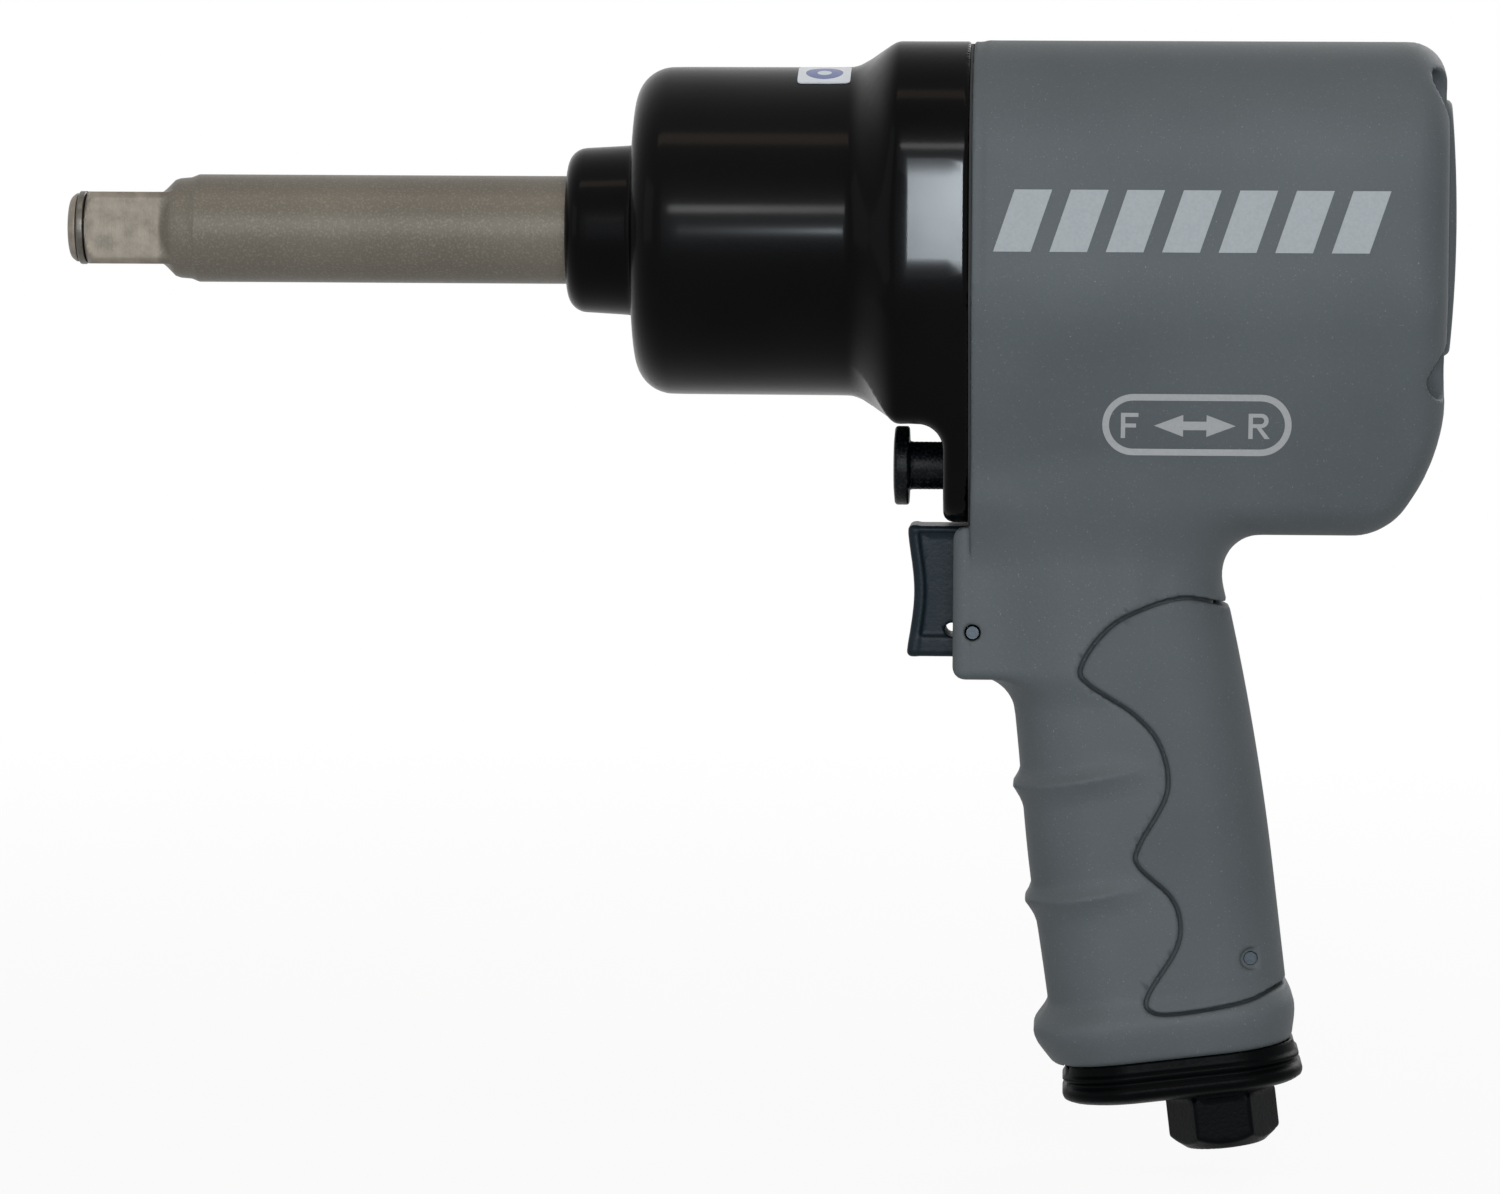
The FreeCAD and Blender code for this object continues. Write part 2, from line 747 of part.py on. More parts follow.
def rear_cover_gasket():
    plate = rear_cover_block(rear_face - 0.8).common(block(0, rear_face - 0.4, -60, 60, -60, 60))
    for y, z in bolt_places():
        plate = plate.cut(rod(rear_face - 5, rear_face + 20, bolt_pocket_radius + 0.4, y, z))
    return plate


def bolt_seat():
    return bore_end + 0.5


def housing_bolts():
    bolts = []
    head_start = bolt_seat() + 1.0
    for y, z in bolt_places():
        shank = rod(end_plate_start + 5.0, head_start + 0.5, bolt_radius, y, z)
        head = rod(head_start, head_start + bolt_head_height, bolt_head_radius, y, z)
        socket = hexagon(head_start + 2.2, head_start + bolt_head_height + 1, 4.0)
        socket.translate(Vector(0, y, z))
        bolts.append(shank.fuse(head).removeSplitter().cut(socket))
    return Part.makeCompound(bolts)


def bolt_washers():
    washers = []
    for y, z in bolt_places():
        washers.append(ring(bolt_seat(), bolt_seat() + 1.0, bolt_head_radius + 0.3, bolt_radius + 0.1, y, z))
    return Part.makeCompound(washers)


# Reverse valve ------------------------------------------------------------------------------------
def knob_front():
    return seam - gasket_thickness - ear_thickness - knob_gap - knob_thickness


def spool_start():
    return seam + sleeve_start + 2.0


def reverse_valve_sleeve():
    start = seam + sleeve_start
    sleeve = ring(start, start + sleeve_length, sleeve_radius, spool_radius + running_fit, 0, reverse_z)
    sleeve = sleeve.cut(post(trigger_z + 2, reverse_z, 2.4, seam + 28.1))
    for x in (port_x() - 5, port_x() + 20):
        sleeve = sleeve.cut(post(reverse_z, reverse_z + 12, 2.0, x))
    return sleeve.cut(spool_stop_pin())


def spool_stop_pin():
    x = spool_start() + spool_land + reverse_travel + stop_pin_radius + 0.5
    y = spool_core_radius + stop_pin_radius + 0.2
    return post(reverse_z - 5.0, reverse_z + 5.0, stop_pin_radius, x, y)


def reverse_spool():
    start = spool_start()
    core = rod(knob_front() + knob_thickness + 2, start + 2 * spool_pitch + spool_land,
               spool_core_radius, 0, reverse_z)
    lands = [rod(start + step * spool_pitch, start + step * spool_pitch + spool_land,
                 spool_radius, 0, reverse_z) for step in range(3)]
    spool = fuse_all([core] + lands)
    for step in (0, 2):
        middle = start + step * spool_pitch + spool_land / 2
        spool = spool.cut(ring(middle - 0.9, middle + 0.9, 9, spool_radius - 1.5, 0, reverse_z))
    return spool


def spool_o_rings():
    rings = []
    for step in (0, 2):
        middle = spool_start() + step * spool_pitch + spool_land / 2
        centre = Vector(middle, 0, reverse_z)
        rings.append(Part.makeTorus(spool_radius - 0.75, 0.75, centre, ALONG_X))
    return Part.makeCompound(rings)


def reverse_knob():
    front = knob_front()
    disc = turned([
        (front, 0, 0),
        (front, knob_radius - 0.6, 0),
        (front + 0.8, knob_radius, 0.4),
        (front + knob_thickness, knob_radius, 0.5),
        (front + knob_thickness, 0, 0)], 0, reverse_z)
    stem = rod(front + 1, spool_start() - 0.3, knob_stem_radius, 0, reverse_z)
    knob = fuse_all([disc, stem])
    return knob.cut(rod(front + knob_thickness + 2, spool_start() + 1, spool_core_radius, 0, reverse_z))


# Trigger ------------------------------------------------------------------------------------------
def trigger():
    front = trigger_start
    body = side_prism([
        (front, trigger_top, 0.8),
        (trigger_end, trigger_top, 0.6),
        (trigger_end, trigger_bottom, 0.6),
        (front + 0.7, trigger_bottom, 1.2),
        (front + 1.9, trigger_z - 3, 18.0)], trigger_half)
    slot_length = trigger_travel
    low = cross_pin(30, roll_pin_radius + 0.1, trigger_pin_x, trigger_pin_z)
    high = cross_pin(30, roll_pin_radius + 0.1, trigger_pin_x - slot_length, trigger_pin_z)
    reach = roll_pin_radius + 0.1
    between = block(trigger_pin_x - slot_length, trigger_pin_x, -30, 30,
                    trigger_pin_z - reach, trigger_pin_z + reach)
    body = body.cut(fuse_all([low, high, between]))
    return body.cut(rod(trigger_end - 5, trigger_end + 1, rod_radius, 0, trigger_z))


def throttle_rod():
    tip = rod_tip - rod_radius
    ball = Part.makeSphere(rod_radius, Vector(tip, 0, trigger_z))
    return fuse_all([rod(trigger_end - 5, tip, rod_radius, 0, trigger_z), ball])


def throttle_rod_bushing():
    start = rod_bushing_start
    end = start + rod_bushing_length
    return ring(start, end, rod_bushing_radius, rod_radius + running_fit, 0, trigger_z)


def trigger_return_spring():
    spring = coil(0, rod_bushing_start - trigger_end, 2.7, 0.35, 6)
    spring.rotate(Vector(0, 0, 0), ALONG_Y, 90)
    spring.translate(Vector(trigger_end, 0, trigger_z))
    return spring


def trigger_retaining_pin():
    return cross_pin(guard_half - 0.4, roll_pin_radius, trigger_pin_x, trigger_pin_z)


# Throttle valve and inlet -------------------------------------------------------------------------
def throttle_valve():
    top = valve_seat_height
    disc = post(top - valve_disc_thickness, top, valve_disc_radius)
    stem = post(top - 1, stem_height, valve_stem_radius)
    tip = Part.makeSphere(valve_stem_radius, Vector(0, 0, stem_height))
    return in_grip(fuse_all([disc, stem, tip]))


def throttle_valve_seat():
    top = valve_seat_height + valve_seat_thickness
    seat = post(valve_seat_height, top, passage_radius).cut(post(valve_seat_height - 1, top + 1, valve_seat_bore))
    return in_grip(seat)


def throttle_valve_spring():
    bottom = shank_height + screen_thickness
    return in_grip(coil(bottom, valve_seat_height - valve_disc_thickness, 5.0, 0.4, 5))


def inlet_bushing():
    bottom = -deflector_height
    corners = inlet_hex_af / math.cos(math.pi / 6) / 2
    hexed = top_prism([(corners * math.cos(step * math.pi / 3), corners * math.sin(step * math.pi / 3), 0)
                       for step in range(6)], bottom - inlet_hex_height - 1.0, bottom - 1.0)
    bevel = turned_up([
        (0, bottom - inlet_hex_height - 1.0, 0),
        (corners - 1.6, bottom - inlet_hex_height - 1.0, 0),
        (corners + 0.4, bottom - inlet_hex_height + 0.2, 0),
        (corners + 0.4, bottom - 1.0, 0),
        (0, bottom - 1.0, 0)])
    body = fuse_all([hexed.common(bevel), post(bottom - 2.0, shank_height, shank_radius)])
    body = body.cut(post(bottom - 20, bottom + 4.0, inlet_bore))
    body = body.cut(post(bottom, shank_height + 1, inlet_bore - 1.0))
    groove = post(8.0, 10.0, 12).cut(post(7, 11, shank_radius - 1.6))
    body = body.cut(groove)
    return in_grip(body.cut(cross_pin(20, roll_pin_radius + 0.05, inlet_pin_x, inlet_pin_height)))


def inlet_o_ring():
    centre = Vector(0, 0, 9.0)
    return in_grip(Part.makeTorus(shank_radius - 0.78, 0.8, centre, ALONG_Z))


def inlet_screen():
    disc = post(shank_height, shank_height + screen_thickness, passage_radius - 0.05)
    for step in range(6):
        angle = step * math.pi / 3
        disc = disc.cut(post(0, 60, 1.3, 3.6 * math.cos(angle), 3.6 * math.sin(angle)))
    return in_grip(disc.cut(post(0, 60, 1.3)))


def inlet_retaining_pin():
    return in_grip(cross_pin(inlet_pin_half, roll_pin_radius, inlet_pin_x, inlet_pin_height))


def exhaust_deflector():
    top = 0.0
    body = fuse_all([
        grip_section(foot_front + 3.8, foot_rear - 2.1, grip_half - 0.6, -2.2, top),
        grip_section(foot_front + 4.6, foot_rear - 2.9, grip_half - 1.4, -3.2, top),
        grip_section(foot_front + 3.4, foot_rear - 2.5, grip_half - 0.8, -deflector_height, -3.2)])
    body = body.cut(post(-20, 1, shank_radius + 0.05))
    return in_grip(body.cut(block(-24.0, -13.0, -10.5, 10.5, -20, 1)))


def muffler_element():
    return in_grip(block(-24.4, -12.6, -10.9, 10.9, 0.0, muffler_height))


# Label on the nose of the hammer case -------------------------------------------------------------
def nose_label():
    start = seam - 30.7
    label = ring(start, start + 9.2, case_radius + 0.3, case_radius)
    label = label.common(block(start, start + 9.2, -4.8, 4.8, 0, 60))
    label.rotate(Vector(0, 0, 0), ALONG_X, 17.7)
    return label


os.makedirs("parts", exist_ok=True)
front_bearing = motor_start - bearing_width
rear_bearing = rear_plate_end - bearing_width
pivot, slotted = hammer_pin_places()
save("anvil", anvil())
save("socket_retaining_ring", socket_retaining_ring())
save("retaining_ring_o_ring", retaining_ring_o_ring())
save("hammer_case", hammer_case())
save("hammer_case_bushing", hammer_case_bushing())
save("anvil_oil_seal", anvil_oil_seal())
save("anvil_thrust_washer", anvil_thrust_washer())
save("hammer_cage", hammer_cage())
save("hammer_front", hammer(front_hammer, pivot, slotted, -1))
save("hammer_rear", hammer(rear_hammer, slotted, pivot, 1))
save("hammer_pins", hammer_pins())
save("front_end_plate", front_end_plate())
save("front_bearing_outer_race", bearing_race_outer(front_bearing))
save("front_bearing_inner_race", bearing_race_inner(front_bearing))
save("front_bearing_balls", bearing_balls(front_bearing))
save("motor_cylinder", motor_cylinder())
save("cylinder_dowel_pins", cylinder_dowel_pins())
save("rotor", rotor())
save("rotor_vanes", rotor_vanes())
save("rear_end_plate", rear_end_plate())
save("rear_bearing_outer_race", bearing_race_outer(rear_bearing))
save("rear_bearing_inner_race", bearing_race_inner(rear_bearing))
save("rear_bearing_balls", bearing_balls(rear_bearing))
save("rear_wave_washer", rear_wave_washer())
save("hammer_case_gasket", hammer_case_gasket())
save("motor_housing", motor_housing())
save("rear_cover", rear_cover())
save("rear_cover_gasket", rear_cover_gasket())
save("housing_bolts", housing_bolts())
save("bolt_washers", bolt_washers())
save("palm_grip_pad", palm_grip_pad())
save("reverse_valve_sleeve", reverse_valve_sleeve())
save("spool_stop_pin", spool_stop_pin())
save("reverse_spool", reverse_spool())
save("spool_o_rings", spool_o_rings())
save("reverse_knob", reverse_knob())
save("trigger", trigger())
save("throttle_rod", throttle_rod())
save("throttle_rod_bushing", throttle_rod_bushing())
save("trigger_return_spring", trigger_return_spring())
save("trigger_retaining_pin", trigger_retaining_pin())
save("throttle_valve", throttle_valve())
save("throttle_valve_seat", throttle_valve_seat())
save("throttle_valve_spring", throttle_valve_spring())
save("inlet_bushing", inlet_bushing())
save("inlet_o_ring", inlet_o_ring())
save("inlet_screen", inlet_screen())
save("inlet_retaining_pin", inlet_retaining_pin())
save("exhaust_deflector", exhaust_deflector())
save("muffler_element", muffler_element())
save("nose_label", nose_label())
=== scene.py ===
import math
import bmesh
import bpy
import numpy as np
import openvdb
from mathutils import Matrix, Vector
from mathutils.bvhtree import BVHTree


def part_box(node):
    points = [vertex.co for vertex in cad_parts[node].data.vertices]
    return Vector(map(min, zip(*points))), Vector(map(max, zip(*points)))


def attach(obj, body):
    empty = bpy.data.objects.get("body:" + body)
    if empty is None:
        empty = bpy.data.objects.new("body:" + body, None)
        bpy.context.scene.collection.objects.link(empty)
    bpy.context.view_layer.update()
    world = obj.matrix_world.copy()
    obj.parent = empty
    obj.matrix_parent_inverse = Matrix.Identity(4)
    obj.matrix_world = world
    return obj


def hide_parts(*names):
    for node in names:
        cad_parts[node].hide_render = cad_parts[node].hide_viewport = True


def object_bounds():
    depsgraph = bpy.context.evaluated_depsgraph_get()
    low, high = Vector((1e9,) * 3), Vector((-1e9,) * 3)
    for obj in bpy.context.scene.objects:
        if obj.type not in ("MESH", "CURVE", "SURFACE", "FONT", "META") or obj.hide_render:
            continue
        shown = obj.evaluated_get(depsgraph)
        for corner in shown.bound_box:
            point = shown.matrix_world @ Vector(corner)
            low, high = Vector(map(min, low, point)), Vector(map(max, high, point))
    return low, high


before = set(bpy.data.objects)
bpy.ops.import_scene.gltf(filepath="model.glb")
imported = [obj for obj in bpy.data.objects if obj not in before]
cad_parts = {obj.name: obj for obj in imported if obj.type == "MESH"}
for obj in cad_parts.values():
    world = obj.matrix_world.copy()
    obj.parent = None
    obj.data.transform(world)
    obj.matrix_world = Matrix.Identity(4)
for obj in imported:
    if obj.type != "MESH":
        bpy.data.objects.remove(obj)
cad_box = [list(corner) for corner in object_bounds()]


# Studio ----------------------
# The tool hangs over a pale floor in plain soft light: a broad softbox above the lens, a small cool
# lamp that catches the flange, a warm strip overhead and weak fills.  The room is white where it is
# seen and dim where it lights.
centre = Vector((0.1043, 0.0, -0.0646))
camera_data = bpy.data.cameras.new("camera")
camera_data.lens = 151.0
camera_data.sensor_width = 36
camera = bpy.data.objects.new("camera", camera_data)
camera.location = (0.161, -1.109, 0.002)
camera_roll = math.radians(0.31)
facing = (centre - camera.location).to_track_quat("-Z", "Y").to_matrix()
camera.rotation_euler = (facing @ Matrix.Rotation(camera_roll, 3, "Z")).to_euler()
bpy.context.scene.collection.objects.link(camera)
bpy.context.scene.camera = camera
bpy.context.scene.view_settings.view_transform = "Standard"


def softbox(name, place, width, height, power, tint):
    """A rectangular lamp that faces the tool."""
    lamp = bpy.data.lights.new(name, "AREA")
    lamp.shape = "RECTANGLE"
    lamp.size = width
    lamp.size_y = height
    lamp.energy = power
    lamp.color = tint
    stand = bpy.data.objects.new(name, lamp)
    stand.location = place
    stand.rotation_euler = (centre - Vector(place)).to_track_quat("-Z", "Y").to_euler()
    bpy.context.scene.collection.objects.link(stand)


softbox("front_softbox", (0.30, -1.60, 0.44), 0.9, 0.14, 10.5, (1.0, 1.0, 1.0))
softbox("catch_light", (0.112, -1.50, 0.010), 0.036, 0.05, 5.2, (0.84, 0.93, 1.0))
softbox("ceiling_strip", (0.05, -0.55, 1.30), 1.2, 0.22, 2.6, (1.0, 0.80, 0.62))
softbox("side_fill", (-1.2, -0.9, 0.2), 0.8, 1.2, 2.5, (0.92, 0.96, 1.0))
softbox("back_fill", (0.9, 1.3, 0.8), 1.2, 1.0, 11, (1.0, 1.0, 1.0))


class Value:
    """One output of a node.  A sum, difference or product of values adds its own Math node."""

    def __init__(self, nodes, socket):
        self.nodes = nodes
        self.socket = socket

    def math(self, operation, first, second):
        return self.nodes.node("Math", {0: first, 1: second}, operation=operation)

    def __add__(self, other):
        return self.math("ADD", self, other)

    def __sub__(self, other):
        return self.math("SUBTRACT", self, other)

    def __rsub__(self, other):
        return self.math("SUBTRACT", other, self)

    def __mul__(self, other):
        return self.math("MULTIPLY", self, other)

    __radd__ = __add__
    __rmul__ = __mul__

    def ramp(self, low, high):
        """How far the value has come from low to high, from 0 to 1."""
        return self.nodes.node("MapRange", {"Value": self, "From Min": low, "From Max": high}, clamp=True)


class Nodes:
    """A shader tree that nodes are added to."""

    def __init__(self, tree):
        self.tree = tree

    def node(self, kind, sockets, output=0, **settings):
        """A node of this kind: its settings first, then what its sockets hold.  Gives one output."""
        node = self.tree.nodes.new("ShaderNode" + kind)
        for setting, choice in settings.items():
            setattr(node, setting, choice)
        for socket, held in sockets.items():
            if isinstance(held, Value):
                self.tree.links.new(held.socket, node.inputs[socket])
            else:
                node.inputs[socket].default_value = held
        return Value(self, node.outputs[output])


class Finish(Nodes):
    """A material: its steady sockets are set as it is made, and its varying ones are driven."""

    def __init__(self, name, **steady):
        self.material = bpy.data.materials.new(name)
        self.material.use_nodes = True
        super().__init__(self.material.node_tree)
        self.shader = self.tree.nodes["Principled BSDF"]
        for socket, amount in steady.items():
            self.shader.inputs[socket.replace("_", " ")].default_value = amount
        self.place = self.node("TexCoord", {}, "Object")

    def along(self, letter):
        """The place along one axis of the tool, in metres."""
        return self.node("SeparateXYZ", {"Vector": self.place}, letter)

    def noise(self, scale, detail=3.0, stretch=(1.0, 1.0, 1.0)):
        """Cloudy variation with about scale spots to a metre, from 0 to 1."""
        spot = self.node("VectorMath", {0: self.place, 1: stretch}, operation="MULTIPLY")
        return self.node("TexNoise", {"Vector": spot, "Scale": scale, "Detail": detail})

    def mix(self, amount, first, second):
        """A colour between two others."""
        return self.node("Mix", {0: amount, 6: first, 7: second}, 2, data_type="RGBA")

    def drive(self, socket, value):
        self.tree.links.new(value.socket, self.shader.inputs[socket])

    def bump(self, height, depth):
        """Raises the surface by height times depth, in metres."""
        self.drive("Normal", self.node("Bump", {"Height": height, "Distance": depth, "Strength": 1.0}))

    def grained(self, grain, dark, light, spread, rough, depth):
        """One grain changes the colour, the polish and the surface together."""
        self.drive("Base Color", self.mix(grain, dark, light))
        self.drive("Roughness", grain * spread + rough)
        self.bump(grain, depth)

    def on(self, *pieces):
        for piece in pieces:
            piece.data.materials.clear()
            piece.data.materials.append(self.material)


def tone(red, green, blue):
    """A display colour, 0 to 255, as the linear values that a shader takes."""
    levels = [level / 255 for level in (red, green, blue)]
    return (*[level / 12.92 if level < 0.0405 else ((level + 0.055) / 1.055) ** 2.4 for level in levels], 1.0)


def looked_at(nodes):
    """1 where the lens sees the room, also in gloss or through glass, and 0 where the room only lights."""
    kinds = ("Camera", "Glossy", "Transmission")
    rays = [nodes.node("LightPath", {}, "Is " + kind + " Ray") for kind in kinds]
    return rays[0].math("MAXIMUM", rays[0].math("MAXIMUM", rays[0], rays[1]), rays[2])


white = (1.0, 1.0, 1.0, 1.0)
room_light = 0.24
world = bpy.data.worlds.new("studio")
bpy.context.scene.world = world
world.use_nodes = True
room = Nodes(world.node_tree)
seen = looked_at(room)
strength = seen + (1 - seen) * room_light
backdrop = world.node_tree.nodes["Background"]
backdrop.inputs["Color"].default_value = white
world.node_tree.links.new(strength.socket, backdrop.inputs["Strength"])

floor_reach = 6.0
floor_gap = 0.004
fade_start, fade_end = 0.25, 0.9
near_glow = 0.93
floor_level = cad_box[0][2] - floor_gap
floor_mesh = bpy.data.meshes.new("floor")
floor_mesh.from_pydata([(sx * floor_reach, sy * floor_reach, floor_level)
                        for sx, sy in ((-1, -1), (1, -1), (1, 1), (-1, 1))], [], [(0, 1, 2, 3)])
floor = bpy.data.objects.new("floor", floor_mesh)
bpy.context.scene.collection.objects.link(floor)
pale_floor = Finish("pale_floor", Roughness=1.0, Base_Color=(0.50, 0.50, 0.50, 1.0))
glow = pale_floor.node("Emission", {"Color": white, "Strength": 1.0})
lit = Value(pale_floor, pale_floor.shader.outputs[0])
seen = looked_at(pale_floor)
away = pale_floor.node("VectorMath", {0: pale_floor.place}, "Value", operation="LENGTH")
away = away.ramp(fade_start, fade_end)
blend = pale_floor.node("MixShader", {0: seen * (away * (1 - near_glow) + near_glow), 1: lit, 2: glow})
pale_floor.tree.links.new(blend.socket, pale_floor.tree.nodes["Material Output"].inputs["Surface"])
pale_floor.on(floor)


# Anvil -----------------------
# The extended drive anvil is one steel forging: a half-inch square with a grooved pilot, a cone, a
# long ground shaft, and two jaws inside the case that the hammers strike.  It is phosphated.
square_half = 6.35
square_corner = 8.45
square_length = 13.2
shaft_radius = 9.5
jaw_root = 9.2
jaw_radius = 12.0
jaw_width = 8.0
jaw_step = 0.01
lead_length, lead_depth, lead_radius = 1.6, 1.9, 8.3
corner_sharpness, cone_sharpness = 6, 5
anvil_sides = 256
millimetre = 0.001


def mesh_piece(name, points, faces, crease=35):
    """A smooth mesh object from points in millimetres, with edges sharper than crease kept."""
    mesh = bpy.data.meshes.new(name)
    mesh.from_pydata((np.asarray(points, float) * millimetre).tolist(), [], faces)
    bm = bmesh.new()
    bm.from_mesh(mesh)
    bmesh.ops.remove_doubles(bm, verts=bm.verts, dist=1e-7)
    bmesh.ops.dissolve_degenerate(bm, edges=bm.edges, dist=1e-7)
    bmesh.ops.recalc_face_normals(bm, faces=bm.faces)
    bm.to_mesh(mesh)
    bm.free()
    mesh.shade_smooth()
    mesh.set_sharp_from_angle(angle=math.radians(crease))
    piece = bpy.data.objects.new(name, mesh)
    bpy.context.scene.collection.objects.link(piece)
    return piece


def rounded(corners, arc_steps=8):
    """Points along straight lines between corners (x, r, radius), with an arc at each corner."""
    path = [np.array(corners[0][:2], float)]
    for before, here, after in zip(corners, corners[1:], corners[2:]):
        middle = np.array(here[:2], float)
        back = np.array(before[:2]) - middle
        ahead = np.array(after[:2]) - middle
        back = back / np.linalg.norm(back)
        ahead = ahead / np.linalg.norm(ahead)
        half = math.acos(max(-1.0, min(1.0, float(back @ ahead)))) / 2
        if here[2] == 0 or half > 1.56:
            path.append(middle)
            continue
        reach = here[2] / math.tan(half)
        start, end = middle + back * reach, middle + ahead * reach
        hub = middle + (back + ahead) / np.linalg.norm(back + ahead) * here[2] / math.sin(half)
        for step in range(arc_steps + 1):
            chord = start + (end - start) * step / arc_steps
            path.append(hub + (chord - hub) / np.linalg.norm(chord - hub) * here[2])
    path.append(np.array(corners[-1][:2], float))
    return path


def skin(name, rings, axis_z=0.0, closed=False):
    """A skin along X over rings, each (x, radii round the axis); closed joins the last to the first."""
    steps = len(rings[0][1])
    angles = np.arange(steps) * 2 * math.pi / steps
    points, faces = [], []
    for x, radii in rings:
        points += zip([x] * steps, radii * np.cos(angles), axis_z + radii * np.sin(angles))
    rows = len(rings)
    for row in range(rows if closed else rows - 1):
        here, ahead = row * steps, (row + 1) % rows * steps
        for step in range(steps):
            after = (step + 1) % steps
            faces.append((here + step, here + after, ahead + after, ahead + step))
    if not closed:
        faces.append(tuple(range(steps)))
        faces.append(tuple(range((rows - 1) * steps, rows * steps)))
    return mesh_piece(name, points, faces)


def turned(corners, sides, arc_steps=5):
    """Round rings for a skin, along an outline of corners (x, r, radius)."""
    return [(x, np.full(sides, r)) for x, r in rounded(corners, arc_steps)]


def square_section(angles):
    """The drive square's radius round its axis; its corners are turned off and eased."""
    flat = square_half / np.maximum(np.abs(np.cos(angles)), np.abs(np.sin(angles)))
    total = np.exp(-flat * corner_sharpness) + np.exp(-square_corner * corner_sharpness)
    return -np.log(total) / corner_sharpness


def square_ring(x, angles):
    """The square, its lead-in at the front, and the cone that it grows into."""
    square = square_section(angles)
    lead = max(0.0, 1 - (x + square_length) / lead_length)
    square = np.minimum(square, lead_radius - lead_depth * lead ** 1.6)
    cone = np.interp(x, [-0.2, 0.3, 1.0, 2.3, 3.2, 5.0], [5.0, 6.5, 7.2, 8.5, 8.8, 8.95])
    either = np.log(np.exp(square * cone_sharpness) + np.exp(cone * cone_sharpness)) / cone_sharpness
    return np.minimum(either, max(8.9, cone))


anvil_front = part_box("anvil")[0].x / millimetre
anvil_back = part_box("anvil")[1].x / millimetre
hammer_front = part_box("hammer_front")[0].x / millimetre
hammer_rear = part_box("hammer_rear")[0].x / millimetre
hammer_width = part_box("hammer_front")[1].x / millimetre - hammer_front
turn = np.arange(anvil_sides) * 2 * math.pi / anvil_sides
rings = turned([
    (anvil_front, 0.4, 0), (anvil_front, 5.3, 1.5), (-15.3, 6.05, 0.3), (-14.95, 6.05, 0.15),
    (-14.9, 4.6, 0), (-13.35, 4.6, 0), (-13.3, 6.1, 0.1), (-13.2, 6.1, 0)], anvil_sides)
rings += [(x, square_ring(x, turn)) for x in (
    -13.19, -13.0, -12.7, -12.4, -12.0, -11.6, -11.0, -9, -6, -3, -1.5, -0.5, -0.2, 0.0, 0.2, 0.4,
    0.7, 1.0, 1.4, 1.8, 2.3, 2.7, 3.2, 4.0, 4.6, 4.95)]
rings += turned([
    (5.0, 8.95, 0), (5.1, 8.95, 0), (6.5, shaft_radius, 0.8), (88.0, shaft_radius, 0.2),
    (88.1, jaw_radius, 0.3), (hammer_front - 0.3, jaw_radius, 0.3), (hammer_front - 0.29, jaw_root, 0)],
    anvil_sides)
root = np.full(anvil_sides, jaw_root)
for start, side in ((hammer_front, 1), (hammer_rear, -1)):
    end = start + hammer_width
    on_jaw = (np.cos(turn) * side > 0) & (np.abs(np.sin(turn)) * jaw_radius < jaw_width / 2)
    jaw = np.where(on_jaw, jaw_radius, jaw_root)
    rings += [(start + jaw_step, root), (start + 2 * jaw_step, jaw)]
    rings += [(end - 2 * jaw_step, jaw), (end - jaw_step, root)]
rings += turned([
    (113.2, jaw_root, 0), (113.25, 8.0, 0), (anvil_back, 8.0, 0.6), (anvil_back, 0.4, 0)], anvil_sides)
anvil = skin("anvil_skin", rings)
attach(anvil, "drive_anvil")
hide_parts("anvil")
phosphate = Finish("phosphated_steel", Metallic=0.12, Specular_IOR_Level=0.20)
speck = phosphate.noise(2600, 4)
grind = phosphate.noise(260, 3, (9.0, 0.6, 0.6))
patch = phosphate.noise(45)
painted_reflection_blotch = phosphate.noise(380, 2)
# The drive square is painted lighter than the shaft, in blotches. This is a painted reflection of the front
# light on its flat faces, laid over the phosphate.
on_square = 1 - phosphate.along("X").ramp(-0.0004, 0.0006)
steel = phosphate.mix(patch, tone(94, 89, 80), tone(114, 108, 98))
steel = phosphate.mix(speck.ramp(0.50, 0.72) * 0.30, steel, tone(158, 154, 144))
steel = phosphate.mix(on_square * (painted_reflection_blotch.ramp(0.30, 0.70) * 0.6 + 0.3), steel, tone(150, 141, 129))
phosphate.drive("Base Color", steel)
phosphate.drive("Roughness", grind * 0.12 + speck * 0.08 + 0.30)
phosphate.bump(speck * 0.6 + grind * 0.4, 0.00004)
phosphate.on(anvil)


# Socket retainer -------------
# A split friction ring sprung from square wire sits in the groove behind the pilot, over a small
# O-ring that pushes it out so that it grips the socket.
ring_sides = 120
half_gap = math.radians(9)
wire = [(-14.75, 5.45, 0.1), (-13.45, 5.45, 0.1), (-13.45, 6.5, 0.35), (-14.75, 6.5, 0.35)]
friction_ring = skin("friction_ring_skin", turned(wire + wire[:1], ring_sides, 8)[:-1], closed=True)
bm = bmesh.new()
bm.from_mesh(friction_ring.data)
centres = {face: face.calc_center_median() for face in bm.faces}
cut = [face for face, at in centres.items() if at.z > 0 and abs(math.atan2(at.y, at.z)) < half_gap]
bmesh.ops.delete(bm, geom=cut, context="FACES")
bmesh.ops.holes_fill(bm, edges=[edge for edge in bm.edges if edge.is_boundary])
bmesh.ops.recalc_face_normals(bm, faces=bm.faces)
bm.to_mesh(friction_ring.data)
bm.free()
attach(friction_ring, "drive_anvil")
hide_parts("socket_retaining_ring")


def kept(*names):
    """Parts that keep the shapes they come in."""
    return [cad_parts[name] for name in names]


spring_finish = Finish("spring_steel", Metallic=1.0)
spring_finish.grained(spring_finish.noise(900), tone(70, 68, 64), tone(112, 108, 102), 0.2, 0.28, 0.00002)
spring_finish.on(friction_ring, *kept("anvil_thrust_washer", "rear_wave_washer", "trigger_return_spring",
                                      "throttle_valve_spring", "inlet_screen"))

